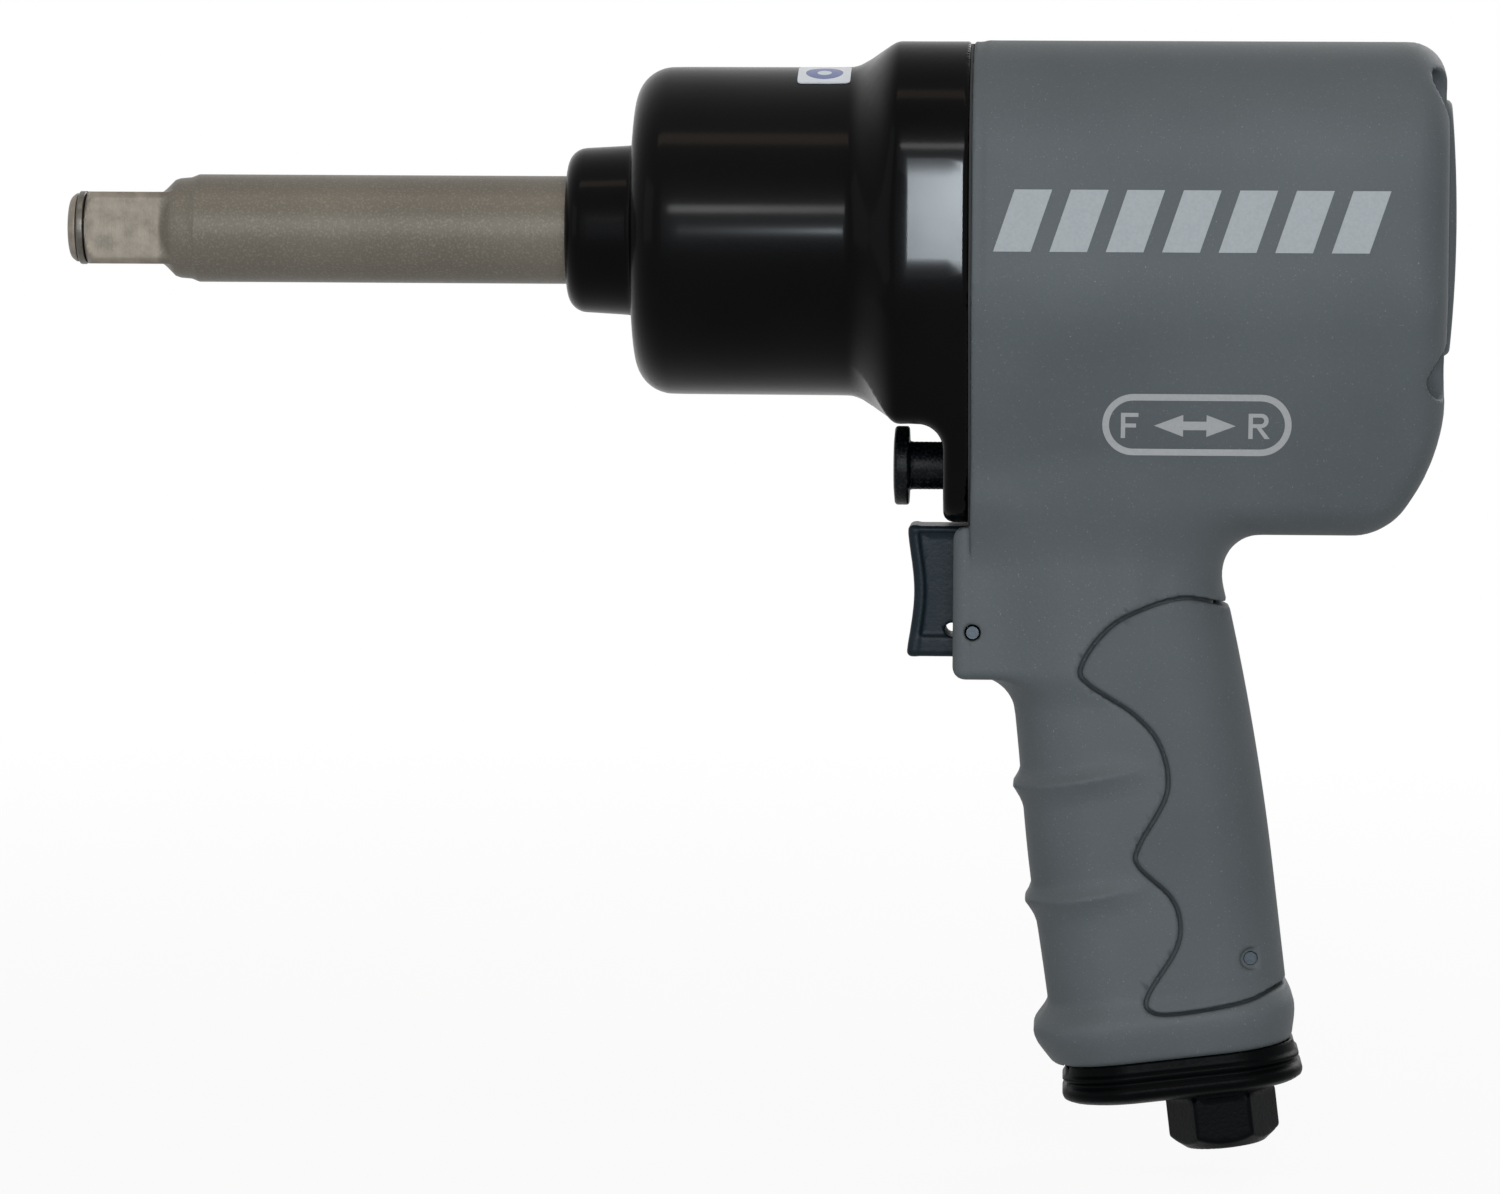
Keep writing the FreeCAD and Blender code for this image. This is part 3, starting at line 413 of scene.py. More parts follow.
seal_finish = Finish("seal_rubber", IOR=1.48)
seal_finish.grained(seal_finish.noise(700, 4), tone(14, 14, 15), tone(30, 30, 31), 0.2, 0.5, 0.00003)
seal_finish.on(*kept("retaining_ring_o_ring", "anvil_oil_seal", "spool_o_rings", "throttle_valve_seat",
                     "inlet_o_ring"))


# Hammer case -----------------
# A gloss black painted casting: a nose boss, a domed drum that holds the hammers, and a flared
# flange that matches the front of the housing, with an ear below it for the reverse valve.
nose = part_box("hammer_case")[0].x / millimetre
case_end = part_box("hammer_case")[1].x / millimetre
case_half = 33.1
side_half = 33.3
side_corner = 21.0
taper_top = -12.0
taper_normal = (0.9234, -0.384)
belly = -52.4
ear_bottom = -50.6
reverse_axis = -41.1
motor_bore = 28.0
drum_radius = 28.9
flare_start, flare_end = 121.6, 131.0
ear_front = 138.6
hammer_room_radius, hammer_room_depth = 25.7, 15.0
motor_room_depth, bushing_depth, mouth_radius = 56.0, 0.6, 9.9
stem_hole_radius, stem_hole_length = 4.7, 12.0
disc_room_radius = 7.5


def union(first, second, radius):
    """Both shapes, with a fillet of that radius where they meet."""
    u = np.maximum(radius - first, 0)
    v = np.maximum(radius - second, 0)
    return np.maximum(radius, np.minimum(first, second)) - np.hypot(u, v)


def common(first, second, radius):
    """What both shapes hold, with its edge rounded."""
    return -union(-first, -second, radius)


def less(first, second, radius):
    """The first shape without the second, with its edge rounded."""
    return -union(-first, second, radius)


def samples(low, high, step):
    """Open arrays of sample places in millimetres; Y starts at 0, and the other half is mirrored."""
    axes = [np.arange(a, b + step, step, dtype=np.float32) for a, b in zip(low, high)]
    return axes[0][:, None, None], axes[1][None, :, None], axes[2][None, None, :]


def rounded_box(u, v, half_u, half_v, corner):
    """Distance from a rectangle with rounded corners, centred on u = v = 0."""
    p = np.abs(u) - half_u + corner
    q = np.abs(v) - half_v + corner
    return np.hypot(np.maximum(p, 0), np.maximum(q, 0)) + np.minimum(np.maximum(p, q), 0) - corner


def tool_section(y, z, half):
    """Distance from the cross-section that the flange and the housing share."""
    top = rounded_box(y, z + 20, half, half + 20, side_corner)
    taper = (np.abs(y) - half) * taper_normal[0] + (z - taper_top) * taper_normal[1]
    return common(common(top, taper, 2.0), belly - z, 6.0)


def between(field, at):
    """The field at places between its samples."""
    limit = np.array(field.shape) - 2
    at = np.clip(at, 0, limit + 0.999)
    cell = at.astype(int)
    part = at - cell
    total = np.zeros(len(at))
    for corner in np.ndindex(2, 2, 2):
        weight = np.abs(1 - np.array(corner) - part).prod(axis=1)
        total += weight * field[tuple((cell + corner).T)]
    return total


flatness = 0.01
probe_reach = 0.8


def field_piece(name, half_field, low, step, place=None):
    """The closed skin where a distance field, given for Y from 0 up, is zero.  Its shading normals
    come from the field.  place moves points and directions out of the grip's own frame."""
    field = np.concatenate([half_field[:, :0:-1, :], half_field], axis=1).astype(np.float32)
    grid = openvdb.FloatGrid(1.0)
    grid.copyFromArray(np.ascontiguousarray(field))
    points, triangles, quads = grid.convertToPolygons(isovalue=0.0, adaptivity=flatness)
    points = points.astype(float)
    faces = quads.tolist() + triangles.tolist()
    normals = np.zeros_like(points)
    for axis in range(3):
        for side in (-probe_reach, probe_reach):
            probe = points.copy()
            probe[:, axis] += side
            normals[:, axis] += side * between(field, probe)
    normals /= np.maximum(np.linalg.norm(normals, axis=1), 1e-9)[:, None]
    points = points * step + np.array([low[0], -step * (half_field.shape[1] - 1), low[2]])
    if place:
        points, normals = place(points, True), place(normals, False)
    mesh = bpy.data.meshes.new(name)
    mesh.from_pydata((points * millimetre).tolist(), [], faces)
    mesh.shade_smooth()
    mesh.normals_split_custom_set_from_vertices(normals.tolist())
    piece = bpy.data.objects.new(name, mesh)
    bpy.context.scene.collection.objects.link(piece)
    return piece


def outline_distance(outline, u, v):
    """Distance from a closed outline of points, negative inside it."""
    u, v = np.broadcast_arrays(u.astype(float), v.astype(float))
    nearest = np.full(u.shape, 1e9)
    inside = np.zeros(u.shape, bool)
    for (au, av), (bu, bv) in zip(outline, outline[1:] + outline[:1]):
        eu, ev = bu - au, bv - av
        t = np.clip(((u - au) * eu + (v - av) * ev) / max(eu * eu + ev * ev, 1e-12), 0, 1)
        nearest = np.minimum(nearest, (u - au - eu * t) ** 2 + (v - av - ev * t) ** 2)
        if ev:
            inside ^= ((av > v) != (bv > v)) & (u < eu * (v - av) / ev + au)
    return np.sqrt(nearest) * np.where(inside, -1, 1)


def turned_field(corners, x, y, z, radius_step=0.1, widest=75):
    """Distance from a shape turned about X, read from its outline by radius."""
    radii = np.arange(0, widest, radius_step)
    table = outline_distance([tuple(p) for p in rounded(corners, 12)], x[:, 0, 0][:, None], radii[None, :])
    at = np.hypot(y, z)[0] / radius_step
    cell = at.astype(int)
    part = at - cell
    return table[:, cell] * (1 - part) + table[:, cell + 1] * part


case_step = 0.42
case_low = (nose - 1.5, 0.0, -53.0)
x, y, z = samples(case_low, (case_end + 1.5, 35.5, 35.5), case_step)
drum = turned_field([
    (nose, -1.0, 0), (nose, 14.3, 3.4), (nose + 11.8, 15.0, 0.9), (nose + 12.4, 28.5, 6.5),
    (nose + 19.8, 28.8, 5.0), (case_end + 4, drum_radius, 0), (case_end + 4, -1.0, 0)], x, y, z)
section = tool_section(y, z, case_half)
flange = common(section, -case_half - z, 2.0)
spread = np.clip((x - flare_start) / (flare_end - flare_start), 0, 1)
spread = spread * spread * (3 - 2 * spread)
ear = common(section, ear_bottom - z, 2.4)
above_ear = common(x - ear_front, z + case_half, 4.4)
case = np.where(x < flare_end, (1 - spread) * drum + spread * flange, common(ear, -above_ear, 2.0))
case = common(case, x - case_end, 0.3)
from_axis = np.hypot(y, z)
hammer_room = np.maximum(from_axis - hammer_room_radius, nose + hammer_room_depth - x)
motor_room = np.maximum(from_axis - motor_bore, nose + motor_room_depth - x)
bushing_seat = np.maximum(from_axis - jaw_radius, nose + bushing_depth - x)
mouth = from_axis - mouth_radius
case = less(case, np.minimum(np.minimum(hammer_room, motor_room), np.minimum(bushing_seat, mouth)), 0.3)
from_stem = np.hypot(y, z - reverse_axis)
case = less(case, np.maximum(from_stem - stem_hole_radius, case_end - stem_hole_length - x), 0.4)
case = less(case, np.maximum(from_stem - disc_room_radius, x - ear_front), 0.4)
hammer_case = field_piece("hammer_case_skin", case, case_low, case_step)
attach(hammer_case, "tool_body")
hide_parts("hammer_case")
case_paint = Finish("black_case_paint", Specular_IOR_Level=0.03, Coat_IOR=1.2, Coat_Roughness=0.13)
orange_peel = case_paint.noise(420, 2)
dust = case_paint.noise(3400, 4)
haze = case_paint.noise(28)
case_paint.drive("Base Color", case_paint.mix(dust.ramp(0.55, 0.8) * 0.5, tone(0, 0, 1), tone(7, 8, 10)))
case_paint.drive("Roughness", haze * 0.08 + dust * 0.14 + 0.22)
case_paint.drive("Coat Weight", haze.ramp(0.2, 0.6) * 0.2 + 0.2)
case_paint.bump(orange_peel * 0.5 + dust * 0.5, 0.00003)
case_paint.on(hammer_case)


# Nose label ------------------
# A small printed film square wraps the top of the drum, white with a plain blue disc.
label_low, label_high = [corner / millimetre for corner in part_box("nose_label")]
label_turn = math.radians(17.7)
label_half_turn = math.radians(9.2)
label_thickness, label_bed = 0.12, -0.3
label_corner = 0.8
disc_radius, pip_radius, print_edge = 0.0033, 0.0012, 0.0001
columns, rows = 24, 24
points, faces = [], []
for lift in (label_bed, label_thickness):
    for column in range(columns + 1):
        for row in range(rows + 1):
            u, v = 2 * column / columns - 1, 2 * row / rows - 1
            corner = max(0.0, abs(u) - label_corner) ** 2 + max(0.0, abs(v) - label_corner) ** 2
            squeeze = 1 - 0.6 * max(0.0, math.sqrt(corner) - 0.2)
            angle = label_turn + label_half_turn * v * squeeze
            along = (label_low.x + label_high.x) / 2 + (label_high.x - label_low.x) / 2 * u * squeeze
            radius = drum_radius + lift
            points.append((along, -radius * math.sin(angle), radius * math.cos(angle)))
sheet = (columns + 1) * (rows + 1)
for column in range(columns):
    for row in range(rows):
        a = column * (rows + 1) + row
        cell = (a, a + 1, a + rows + 2, a + rows + 1)
        faces += [cell, tuple(sheet + corner for corner in cell[::-1])]
rim = [column * (rows + 1) for column in range(columns)] + [columns * (rows + 1) + row for row in range(rows)]
rim += [column * (rows + 1) + rows for column in range(columns, 0, -1)] + list(range(rows, 0, -1))
faces += [(a, b, b + sheet, a + sheet) for a, b in zip(rim, rim[1:] + rim[:1])]
label = mesh_piece("nose_label_film", points, faces, 50)
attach(label, "tool_body")
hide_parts("nose_label")
label_film = Finish("label_film", Coat_Weight=0.2)
spot = label_film.node("VectorMath", {0: label_film.place, 1: (
    (label_low.x + label_high.x) / 2 * millimetre, -drum_radius * math.sin(label_turn) * millimetre,
    drum_radius * math.cos(label_turn) * millimetre)}, "Value", operation="DISTANCE")
scuff = label_film.noise(1500, 4)
inside_disc = 1 - spot.ramp(disc_radius - print_edge, disc_radius)
inside_pip = 1 - spot.ramp(pip_radius, pip_radius + print_edge)
film = label_film.mix(scuff * 0.4, tone(222, 228, 234), tone(196, 204, 212))
film = label_film.mix(inside_disc * 0.92, film, tone(26, 62, 140))
film = label_film.mix(inside_pip * 0.9, film, tone(214, 222, 230))
label_film.drive("Base Color", film)
label_film.drive("Roughness", scuff * 0.2 + 0.28)
label_film.bump(scuff, 0.00001)
label_film.on(label)


# Inside parts ----------------
# The motor, its bearings, the hammer mechanism and the valves are machined parts that keep their own
# shapes.  Each metal shows its own grain: ground steel, cast iron, sintered bronze, bearing steel.
def worked_metal(name, dark, light, scale, rough, depth, stretch=(1.0, 1.0, 1.0)):
    """A bare metal whose tool marks or grain change its colour, polish and surface together."""
    metal = Finish(name, Metallic=1.0)
    grain = metal.noise(scale, 4, stretch)
    cloud = metal.noise(60)
    metal.drive("Base Color", metal.mix(grain * 0.6 + cloud * 0.4, dark, light))
    metal.drive("Roughness", grain * 0.18 + rough)
    metal.bump(grain, depth)
    return metal


ground = worked_metal(
    "ground_mechanism_steel", tone(120, 118, 114), tone(176, 174, 170), 800, 0.22, 0.00002, (6, 1, 1))
ground.on(*kept("hammer_cage", "hammer_front", "hammer_rear", "hammer_pins", "rotor", "cylinder_dowel_pins",
                "reverse_spool", "spool_stop_pin", "throttle_rod"))
cast_iron = worked_metal("cast_motor_iron", tone(72, 70, 68), tone(120, 117, 113), 1600, 0.38, 0.00006)
cast_iron.on(*kept("motor_cylinder", "front_end_plate", "rear_end_plate"))
bronze = worked_metal("sintered_bronze", tone(126, 92, 48), tone(186, 146, 88), 2400, 0.34, 0.00004)
bronze.on(*kept("hammer_case_bushing", "reverse_valve_sleeve", "throttle_rod_bushing", "throttle_valve"))
bearing = worked_metal(
    "polished_bearing_steel", tone(170, 171, 173), tone(206, 207, 209), 1200, 0.10, 0.000008, (1, 8, 8))
bearing.on(*kept(*[end + part for end in ("front_bearing_", "rear_bearing_")
                   for part in ("outer_race", "inner_race", "balls")]))
vane = Finish("laminated_vane")
weave = vane.node("TexWave", {"Vector": vane.place, "Scale": 900.0, "Distortion": 3.0, "Detail": 2.0}, "Fac")
vane.grained(weave, tone(70, 46, 28), tone(118, 82, 50), 0.2, 0.45, 0.00003)
vane.on(*kept("rotor_vanes"))
fibre_sheet = Finish("gasket_fibre")
fibre_sheet.grained(fibre_sheet.noise(2200, 5), tone(16, 17, 18), tone(38, 40, 42), 0.2, 0.7, 0.00005)
fibre_sheet.on(*kept("hammer_case_gasket", "rear_cover_gasket"))
felt = Finish("muffler_felt")
felt.grained(felt.noise(1800, 6), tone(46, 44, 40), tone(104, 100, 92), 0.1, 0.85, 0.0004)
felt.on(*kept("muffler_element"))


# Housing ---------------------
# One moulding of glass-filled grey composite holds the motor and forms the grip, with the guard over
# the trigger, two finger ridges, a flared foot, and pockets at the back for four long bolts.
housing_step = 0.5
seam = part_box("hammer_case_gasket")[1].x / millimetre
rear_face = 225.0
rear_edge = 6.5
guard_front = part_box("motor_housing")[0].x / millimetre
guard_top, guard_bottom, guard_back, guard_half = -51.3, -77.9, 172.0, 15.6
grip_tilt = math.radians(7)
grip_foot, grip_top = (187.0, -142.9), 102.0
grip_half, grip_corner, grip_back, grip_front = 16.7, 12.5, 13.35, -28.2
swell, swell_middle, swell_spread = 0.7, 36, 18
back_bend, back_straight = 0.0011, 30
flare_front, flare_back, flare_side = 3.2, 1.3, 1.6
foot_peak, foot_top, foot_lip = 6.4, 11.6, 1.6
ridge_heights, ridge_ends, ridge_lift = (49.9, 29.5), (-9.0, -12.0), 1.7
rear_slope, rear_slope_from = (0.838, 0.5455), (223.6, -40.0)
motor_room_end, sleeve_radius, sleeve_end = 213.5, 7.5, 186.0
trigger_half, trigger_axis, trigger_travel = 8.0, -62.0, 3.8
trigger_pocket_end, trigger_pocket_middle, trigger_pocket_half = 152.2, -62.85, 11.6
guard_pin_x, guard_pin_z, guard_pin_hole = 143.9, -69.6, 1.45
inlet_radius, inlet_depth, supply_radius, supply_depth = 9.55, 20.2, 8.0, 46.0
muffler_middle, muffler_half, muffler_width, muffler_depth = -20.0, 6.6, 11.0, 33.0
pad_depth = 2.4
groove_half = 0.33
bolt_places = [(22.0, 23.5), (22.0, -23.5)]
bolt_pocket_radius, bolt_pocket_from = 4.8, 214.0
rim_lift, rim_width = 0.25, 2.2


def grip_frame(x, z):
    """Places in the grip's own frame: forward and back, and height above the foot."""
    dx, dz = x - grip_foot[0], z - grip_foot[1]
    tilt_cos, tilt_sin = math.cos(grip_tilt), math.sin(grip_tilt)
    return dx * tilt_cos + dz * tilt_sin, -dx * tilt_sin + dz * tilt_cos


def out_of_grip(points, places):
    """Points, or directions when places is false, from the grip's frame to the tool's."""
    u, h = points[:, 0], points[:, 2]
    tilt_cos, tilt_sin = math.cos(grip_tilt), math.sin(grip_tilt)
    leant = np.array([u * tilt_cos - h * tilt_sin, points[:, 1], u * tilt_sin + h * tilt_cos]).T
    return leant + (np.array([grip_foot[0], 0, grip_foot[1]]) if places else 0)


def grip_skin(u, y, h):
    """Distance from the bare grip, with its foot but without its finger ridges."""
    front = grip_front - swell * np.exp(-((h - swell_middle) / swell_spread) ** 2)
    back = grip_back - back_bend * np.maximum(h - back_straight, 0) ** 2
    flare_reach = np.where(h > foot_peak, foot_top - foot_peak, foot_peak + foot_lip)
    flare = np.maximum(0, 1 - np.abs(h - foot_peak) / flare_reach)
    flare = flare * flare * (3 - 2 * flare)
    front = front - flare_front * flare
    back = back + flare_back * flare
    half = grip_half + flare_side * flare
    return rounded_box(u - (front + back) / 2, y, (back - front) / 2, half, grip_corner)


def ridges(u, h):
    """How far the two finger ridges stand out; each fades away towards the back of the grip."""
    height = 0
    for middle, reach in zip(ridge_heights, ridge_ends):
        line = middle + 0.012 * np.maximum(u + 26, 0) ** 1.5
        fade = np.clip((reach + 4 - u) / 13, 0, 1)
        flank = np.where(h > line, 3.0, 4.2)
        height = height + ridge_lift * fade * np.clip(1 - np.abs(h - line) / flank, 0, 1) ** 1.6
    return height


pad_knots = [
    (10.6, 77.4), (2.8, 79.9), (-6.7, 78.0), (-12.1, 74.7), (-15.9, 69.8), (-14.8, 66.8), (-7.4, 60.6),
    (-3.6, 54.5), (-3.4, 46.5), (-9.3, 37.8), (-9.8, 34.3), (-5.0, 28.6), (-3.7, 24.0), (-5.0, 19.0),
    (-10.6, 11.8), (-10.6, 8.9), (-5.7, 8.0), (5.7, 8.7), (10.8, 9.9)]


def smooth_outline(knots, steps=8):
    """An open line through the knots, bending smoothly at each."""
    ends = [knots[0]] + knots + [knots[-1]]
    line = []
    for p, q, r, s in zip(ends, ends[1:], ends[2:], ends[3:]):
        for step in range(steps):
            t = step / steps
            line.append(tuple(0.5 * (2 * b + (c - a) * t + (2 * a - 5 * b + 4 * c - d) * t * t
                                     + (3 * b - a - 3 * c + d) * t ** 3) for a, b, c, d in zip(p, q, r, s)))
    return line + [knots[-1]]


pad_outline = [(30.0, 74.0)] + smooth_outline(pad_knots) + [(30.0, 14.0)]

housing_low = (guard_front - 1.5, 0.0, -147.5)
x, y, z = samples(housing_low, (rear_face + 2.0, 35.5, 35.0), housing_step)
u, h = grip_frame(x, z)
seam_step = rim_lift * np.clip((seam + rim_width - x) / 0.3, 0, 1)
barrel = tool_section(y, z, side_half) + seam_step
barrel = common(barrel, x - rear_face, rear_edge)
chamfer = (x - rear_slope_from[0]) * rear_slope[0] - (z - rear_slope_from[1]) * rear_slope[1]
barrel = common(barrel, chamfer, 4.5)
grip = grip_skin(u, y, h)
ridged = grip - ridges(u, h)
stock = common(common(ridged, -h, 1.2), h - grip_top, 1.0)
beside_guard = np.abs(y) - guard_half
guard = common(common(beside_guard + 0 * x, guard_bottom - z, 1.7), np.maximum(x - guard_back, z + 46.0), 1.0)
lower_body = union(guard, stock, 6.0)
body = union(barrel, lower_body, 9.4)
cut_front = np.maximum(x - seam, -np.maximum(z - guard_top, beside_guard))
body = less(body, cut_front, 0.35)
body = common(body, guard_front - x, 2.2)
bore = np.maximum(np.hypot(y, z) - motor_bore, x - motor_room_end)
trigger_pocket = np.maximum(x - trigger_pocket_end, np.abs(y) - trigger_half - 0.25)
trigger_pocket = np.maximum(trigger_pocket, np.abs(z - trigger_pocket_middle) - trigger_pocket_half)
sleeve_bore = np.maximum(np.hypot(y, z - reverse_axis) - sleeve_radius, x - sleeve_end)
pin_hole = np.hypot(x - guard_pin_x, z - guard_pin_z) - guard_pin_hole + 0 * y
inlet_bore = np.maximum(np.hypot(u, y) - inlet_radius, h - inlet_depth)
supply = np.maximum(np.hypot(u, y) - supply_radius, h - supply_depth)
muffler_room = rounded_box(u - muffler_middle, y, muffler_half, muffler_width, 2.0)
muffler_room = np.maximum(muffler_room, h - muffler_depth)
inside = np.minimum(np.minimum(bore, sleeve_bore), np.minimum(np.minimum(inlet_bore, supply), muffler_room))
body = less(body, inside, 0.3)
body = less(body, trigger_pocket, 0.5)
body = less(body, pin_hole, 0.25)
for across, up in bolt_places:
    pocket = np.maximum(np.hypot(y - across, z - up) - bolt_pocket_radius, bolt_pocket_from - x)
    body = less(body, pocket, 0.6)
edge = outline_distance(pad_outline, u[:, 0, :], h[:, 0, :])[:, None, :]
pad_bed = np.maximum(edge - groove_half, -pad_depth - grip)
body = less(body, pad_bed, 0.3)
housing = field_piece("motor_housing_skin", body, housing_low, housing_step)
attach(housing, "tool_body")
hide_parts("motor_housing")


def composite(name, dark, light, rough, grain_depth):
    """Matt moulded plastic: a fine spark-eroded grain, faint clouds and pale specks of glass fibre."""
    plastic = Finish(name, Specular_IOR_Level=0.20)
    cloud = plastic.noise(34, 4)
    grain = plastic.noise(1900, 4)
    fleck = plastic.noise(3600, 2)
    skin_tone = plastic.mix(cloud.ramp(0.3, 0.7) * 0.5 + grain * 0.5, dark, light)
    skin_tone = plastic.mix(fleck.ramp(0.66, 0.80) * 0.45, skin_tone, tone(168, 176, 182))
    plastic.drive("Base Color", skin_tone)
    plastic.drive("Roughness", grain * 0.16 + rough)
    plastic.bump(grain * 0.7 + fleck * 0.3, grain_depth)
    return plastic


composite("grey_composite", tone(78, 84, 87), tone(91, 97, 100), 0.50, 0.00007).on(housing)


# Palm pad --------------------
# A soft rubber pad is moulded round the back of the grip, inside a narrow groove, and the pin that
# holds the air inlet passes through it near the foot.
pad_step = 0.42
pad_lift, pad_bed_gap = 0.30, 0.05
pin_u, pin_h, pin_radius = 7.8, 15.9, 1.15
pin_seat_radius, pin_seat_from = 1.9, 13.9
pad_low = (-17.5, 0.0, 6.5)
u, y, h = samples(pad_low, (17.0, 19.5, 83.0), pad_step)
shell = grip_skin(u, y, h)
edge = outline_distance(pad_outline, u[:, 0, :], h[:, 0, :])[:, None, :]
pad = common(common(shell - pad_lift, edge + groove_half, 0.5), -pad_depth + pad_bed_gap - shell, 0.3)
from_pin = np.hypot(u - pin_u, h - pin_h) + 0 * y
pad = less(pad, np.maximum(from_pin - pin_seat_radius, pin_seat_from - y), 0.5)
pad = less(pad, from_pin - pin_radius, 0.1)
palm_pad = field_piece("palm_pad_skin", pad, pad_low, pad_step, out_of_grip)
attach(palm_pad, "tool_body")
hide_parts("palm_grip_pad")
composite("grip_rubber", tone(76, 82, 85), tone(89, 95, 98), 0.60, 0.00009).on(palm_pad)
pin_steel = worked_metal("dark_pin_steel", tone(34, 38, 42), tone(70, 75, 80), 1500, 0.3, 0.00002)
pin_steel.on(*kept("inlet_retaining_pin", "trigger_retaining_pin"))


# Rear cover and bolts --------
# A low moulded plate with four short grooves closes the back over its own gasket.  Black socket screws
# clamp housing, motor and case together from their pockets in the back.
cover_low, cover_high = [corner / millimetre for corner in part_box("rear_cover")]
cover_step = 0.4
cover_corner, crown_bend, bolt_notch = 6.0, 0.0022, 5.2
rib_places, rib_half, rib_line, rib_depth = (10.5, 3.5, -3.5, -10.5), 9.0, 0.8, 1.7
cover_origin = (cover_low.x - 1.2, 0.0, cover_low.z - 1.5)
x, y, z = samples(cover_origin, (cover_high.x + 1.2, cover_high.y + 1.5, cover_high.z + 1.5), cover_step)
middle = (cover_low.z + cover_high.z) / 2
plate = rounded_box(y, z - middle, cover_high.y, (cover_high.z - cover_low.z) / 2, cover_corner)
crown = x - cover_high.x + crown_bend * (y * y + (z - middle) ** 2)
cover = common(common(plate + 0 * x, crown, 1.2), cover_low.x - x, 0.1)
for up in rib_places:
    rib = rounded_box(y, z - middle - up, rib_half, rib_line, rib_line)
    cover = less(cover, np.maximum(rib, cover_high.x - rib_depth - x), 0.3)
for across, up in bolt_places:
    cover = less(cover, np.hypot(y - across, z - up) - bolt_notch + 0 * x, 0.4)
rear_cover = field_piece("rear_cover_skin", cover, cover_origin, cover_step)
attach(rear_cover, "tool_body")
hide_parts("rear_cover")
composite("cover_composite", tone(76, 82, 85), tone(89, 95, 98), 0.50, 0.00007).on(rear_cover)
oxide = worked_metal("black_oxide_steel", tone(20, 20, 22), tone(46, 46, 49), 1800, 0.36, 0.00003)
oxide.on(*kept("housing_bolts", "bolt_washers"))


# Reverse knob ----------------
# The reverse valve is pushed and pulled by a black anodised knob: a thin disc on a knurled stem.
knob_low, knob_high = [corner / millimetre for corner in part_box("reverse_knob")]
knob_sides, knurl_rows, knurl_radius, knurl_height = 144, 40, 4.17, 0.05
knob_path = [(knob_low.x + 0.45, 0.3, 0), (knob_low.x, 4.4, 3.0), (knob_low.x + 0.25, 6.95, 0.6),
             (knob_low.x + 2.75, 6.95, 0.5), (knob_low.x + 2.9, 4.3, 0.3), (knob_low.x + 3.5, 4.2, 0.2)]
around = np.arange(knob_sides)
rings = turned(knob_path, knob_sides, 6)
knurl_start, knurl_end = knob_low.x + 3.7, knob_high.x - 4.0
for step in range(knurl_rows + 1):
    px = knurl_start + (knurl_end - knurl_start) * step / knurl_rows
    bumps = np.sin(around * 2.3 + step * 1.9) * np.cos(around * 1.1 - step * 2.7)
    rings.append((px, knurl_radius + knurl_height * bumps))
rings += turned([(knob_high.x - 3.9, 4.2, 0), (knob_high.x, 4.2, 0.4), (knob_high.x, 0.3, 0)], knob_sides, 4)
knob = skin("reverse_knob_skin", rings, reverse_axis)
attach(knob, "reverse_valve")
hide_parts("reverse_knob")
anodised = Finish("black_anodised", Specular_IOR_Level=0.1)
etch = anodised.noise(2400, 4)
anodised.drive("Base Color", anodised.mix(etch.ramp(0.5, 0.75), tone(4, 5, 7), tone(36, 42, 47)))
anodised.drive("Roughness", etch * 0.25 + 0.25)
anodised.bump(etch, 0.00006)
anodised.on(knob)


# Trigger ---------------------
# The moulded trigger slides straight back on its rod against a spring.  A hollow-faced finger plate
# stands proud of the flat cheeks behind it; the guard's pin runs in their slot and stops it.
trigger_low, trigger_high = [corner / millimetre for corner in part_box("trigger")]
trigger_step = 0.28
hollow_depth, hollow_height, hollow_spread = 1.55, 11.2, 9.1
plate_thickness, cheek_setback, lip_height, head_height = 1.9, 0.55, 3.5, 1.1
slot_radius, rod_hole_radius, rod_hole_depth = 1.2, 1.62, 5.0
spring_pocket_radius, spring_pocket_depth = 3.5, 4.2
trigger_origin = (trigger_low.x - 1.0, 0.0, trigger_low.z - 1.0)
trigger_end = [corner + 1.0 for corner in trigger_high]
x, y, z = samples(trigger_origin, trigger_end, trigger_step)
hollow = hollow_depth * np.exp(-((z - trigger_low.z - hollow_height) / hollow_spread) ** 2)
face = trigger_low.x + 0.15 + hollow - x
block = common(common(trigger_low.z - z, z - trigger_high.z, 0.5), x - trigger_high.x, 0.6)
beside = np.abs(y) - trigger_high.y
plate = common(common(beside, block, 1.0), face, 1.1)
plate = common(plate, x - trigger_low.x - plate_thickness - hollow, 0.3)
cheeks = common(beside + cheek_setback, common(block, z - trigger_high.z + 0.9, 0.4), 0.5)
cheeks = common(cheeks, face, 0.6)
lip = common(common(common(beside, block, 0.8), z - trigger_low.z - lip_height, 0.4), face, 0.9)
head = common(common(common(beside, block, 0.8), trigger_high.z - head_height - z, 0.4), face, 0.9)
shape = union(union(plate, cheeks, 0.5), union(lip, head, 0.3), 0.5)
along_slot = np.maximum(np.abs(x - guard_pin_x + trigger_travel / 2) - trigger_travel / 2, 0)
shape = less(shape, np.hypot(along_slot, z - guard_pin_z) - slot_radius + 0 * y, 0.2)
from_rod = np.hypot(y, z - trigger_axis)
for radius, depth in ((rod_hole_radius, rod_hole_depth), (spring_pocket_radius, spring_pocket_depth)):
    shape = less(shape, np.maximum(from_rod - radius, trigger_high.x - depth - x), 0.1)
trigger = field_piece("trigger_skin", shape, trigger_origin, trigger_step)
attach(trigger, "trigger_slider")
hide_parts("trigger")


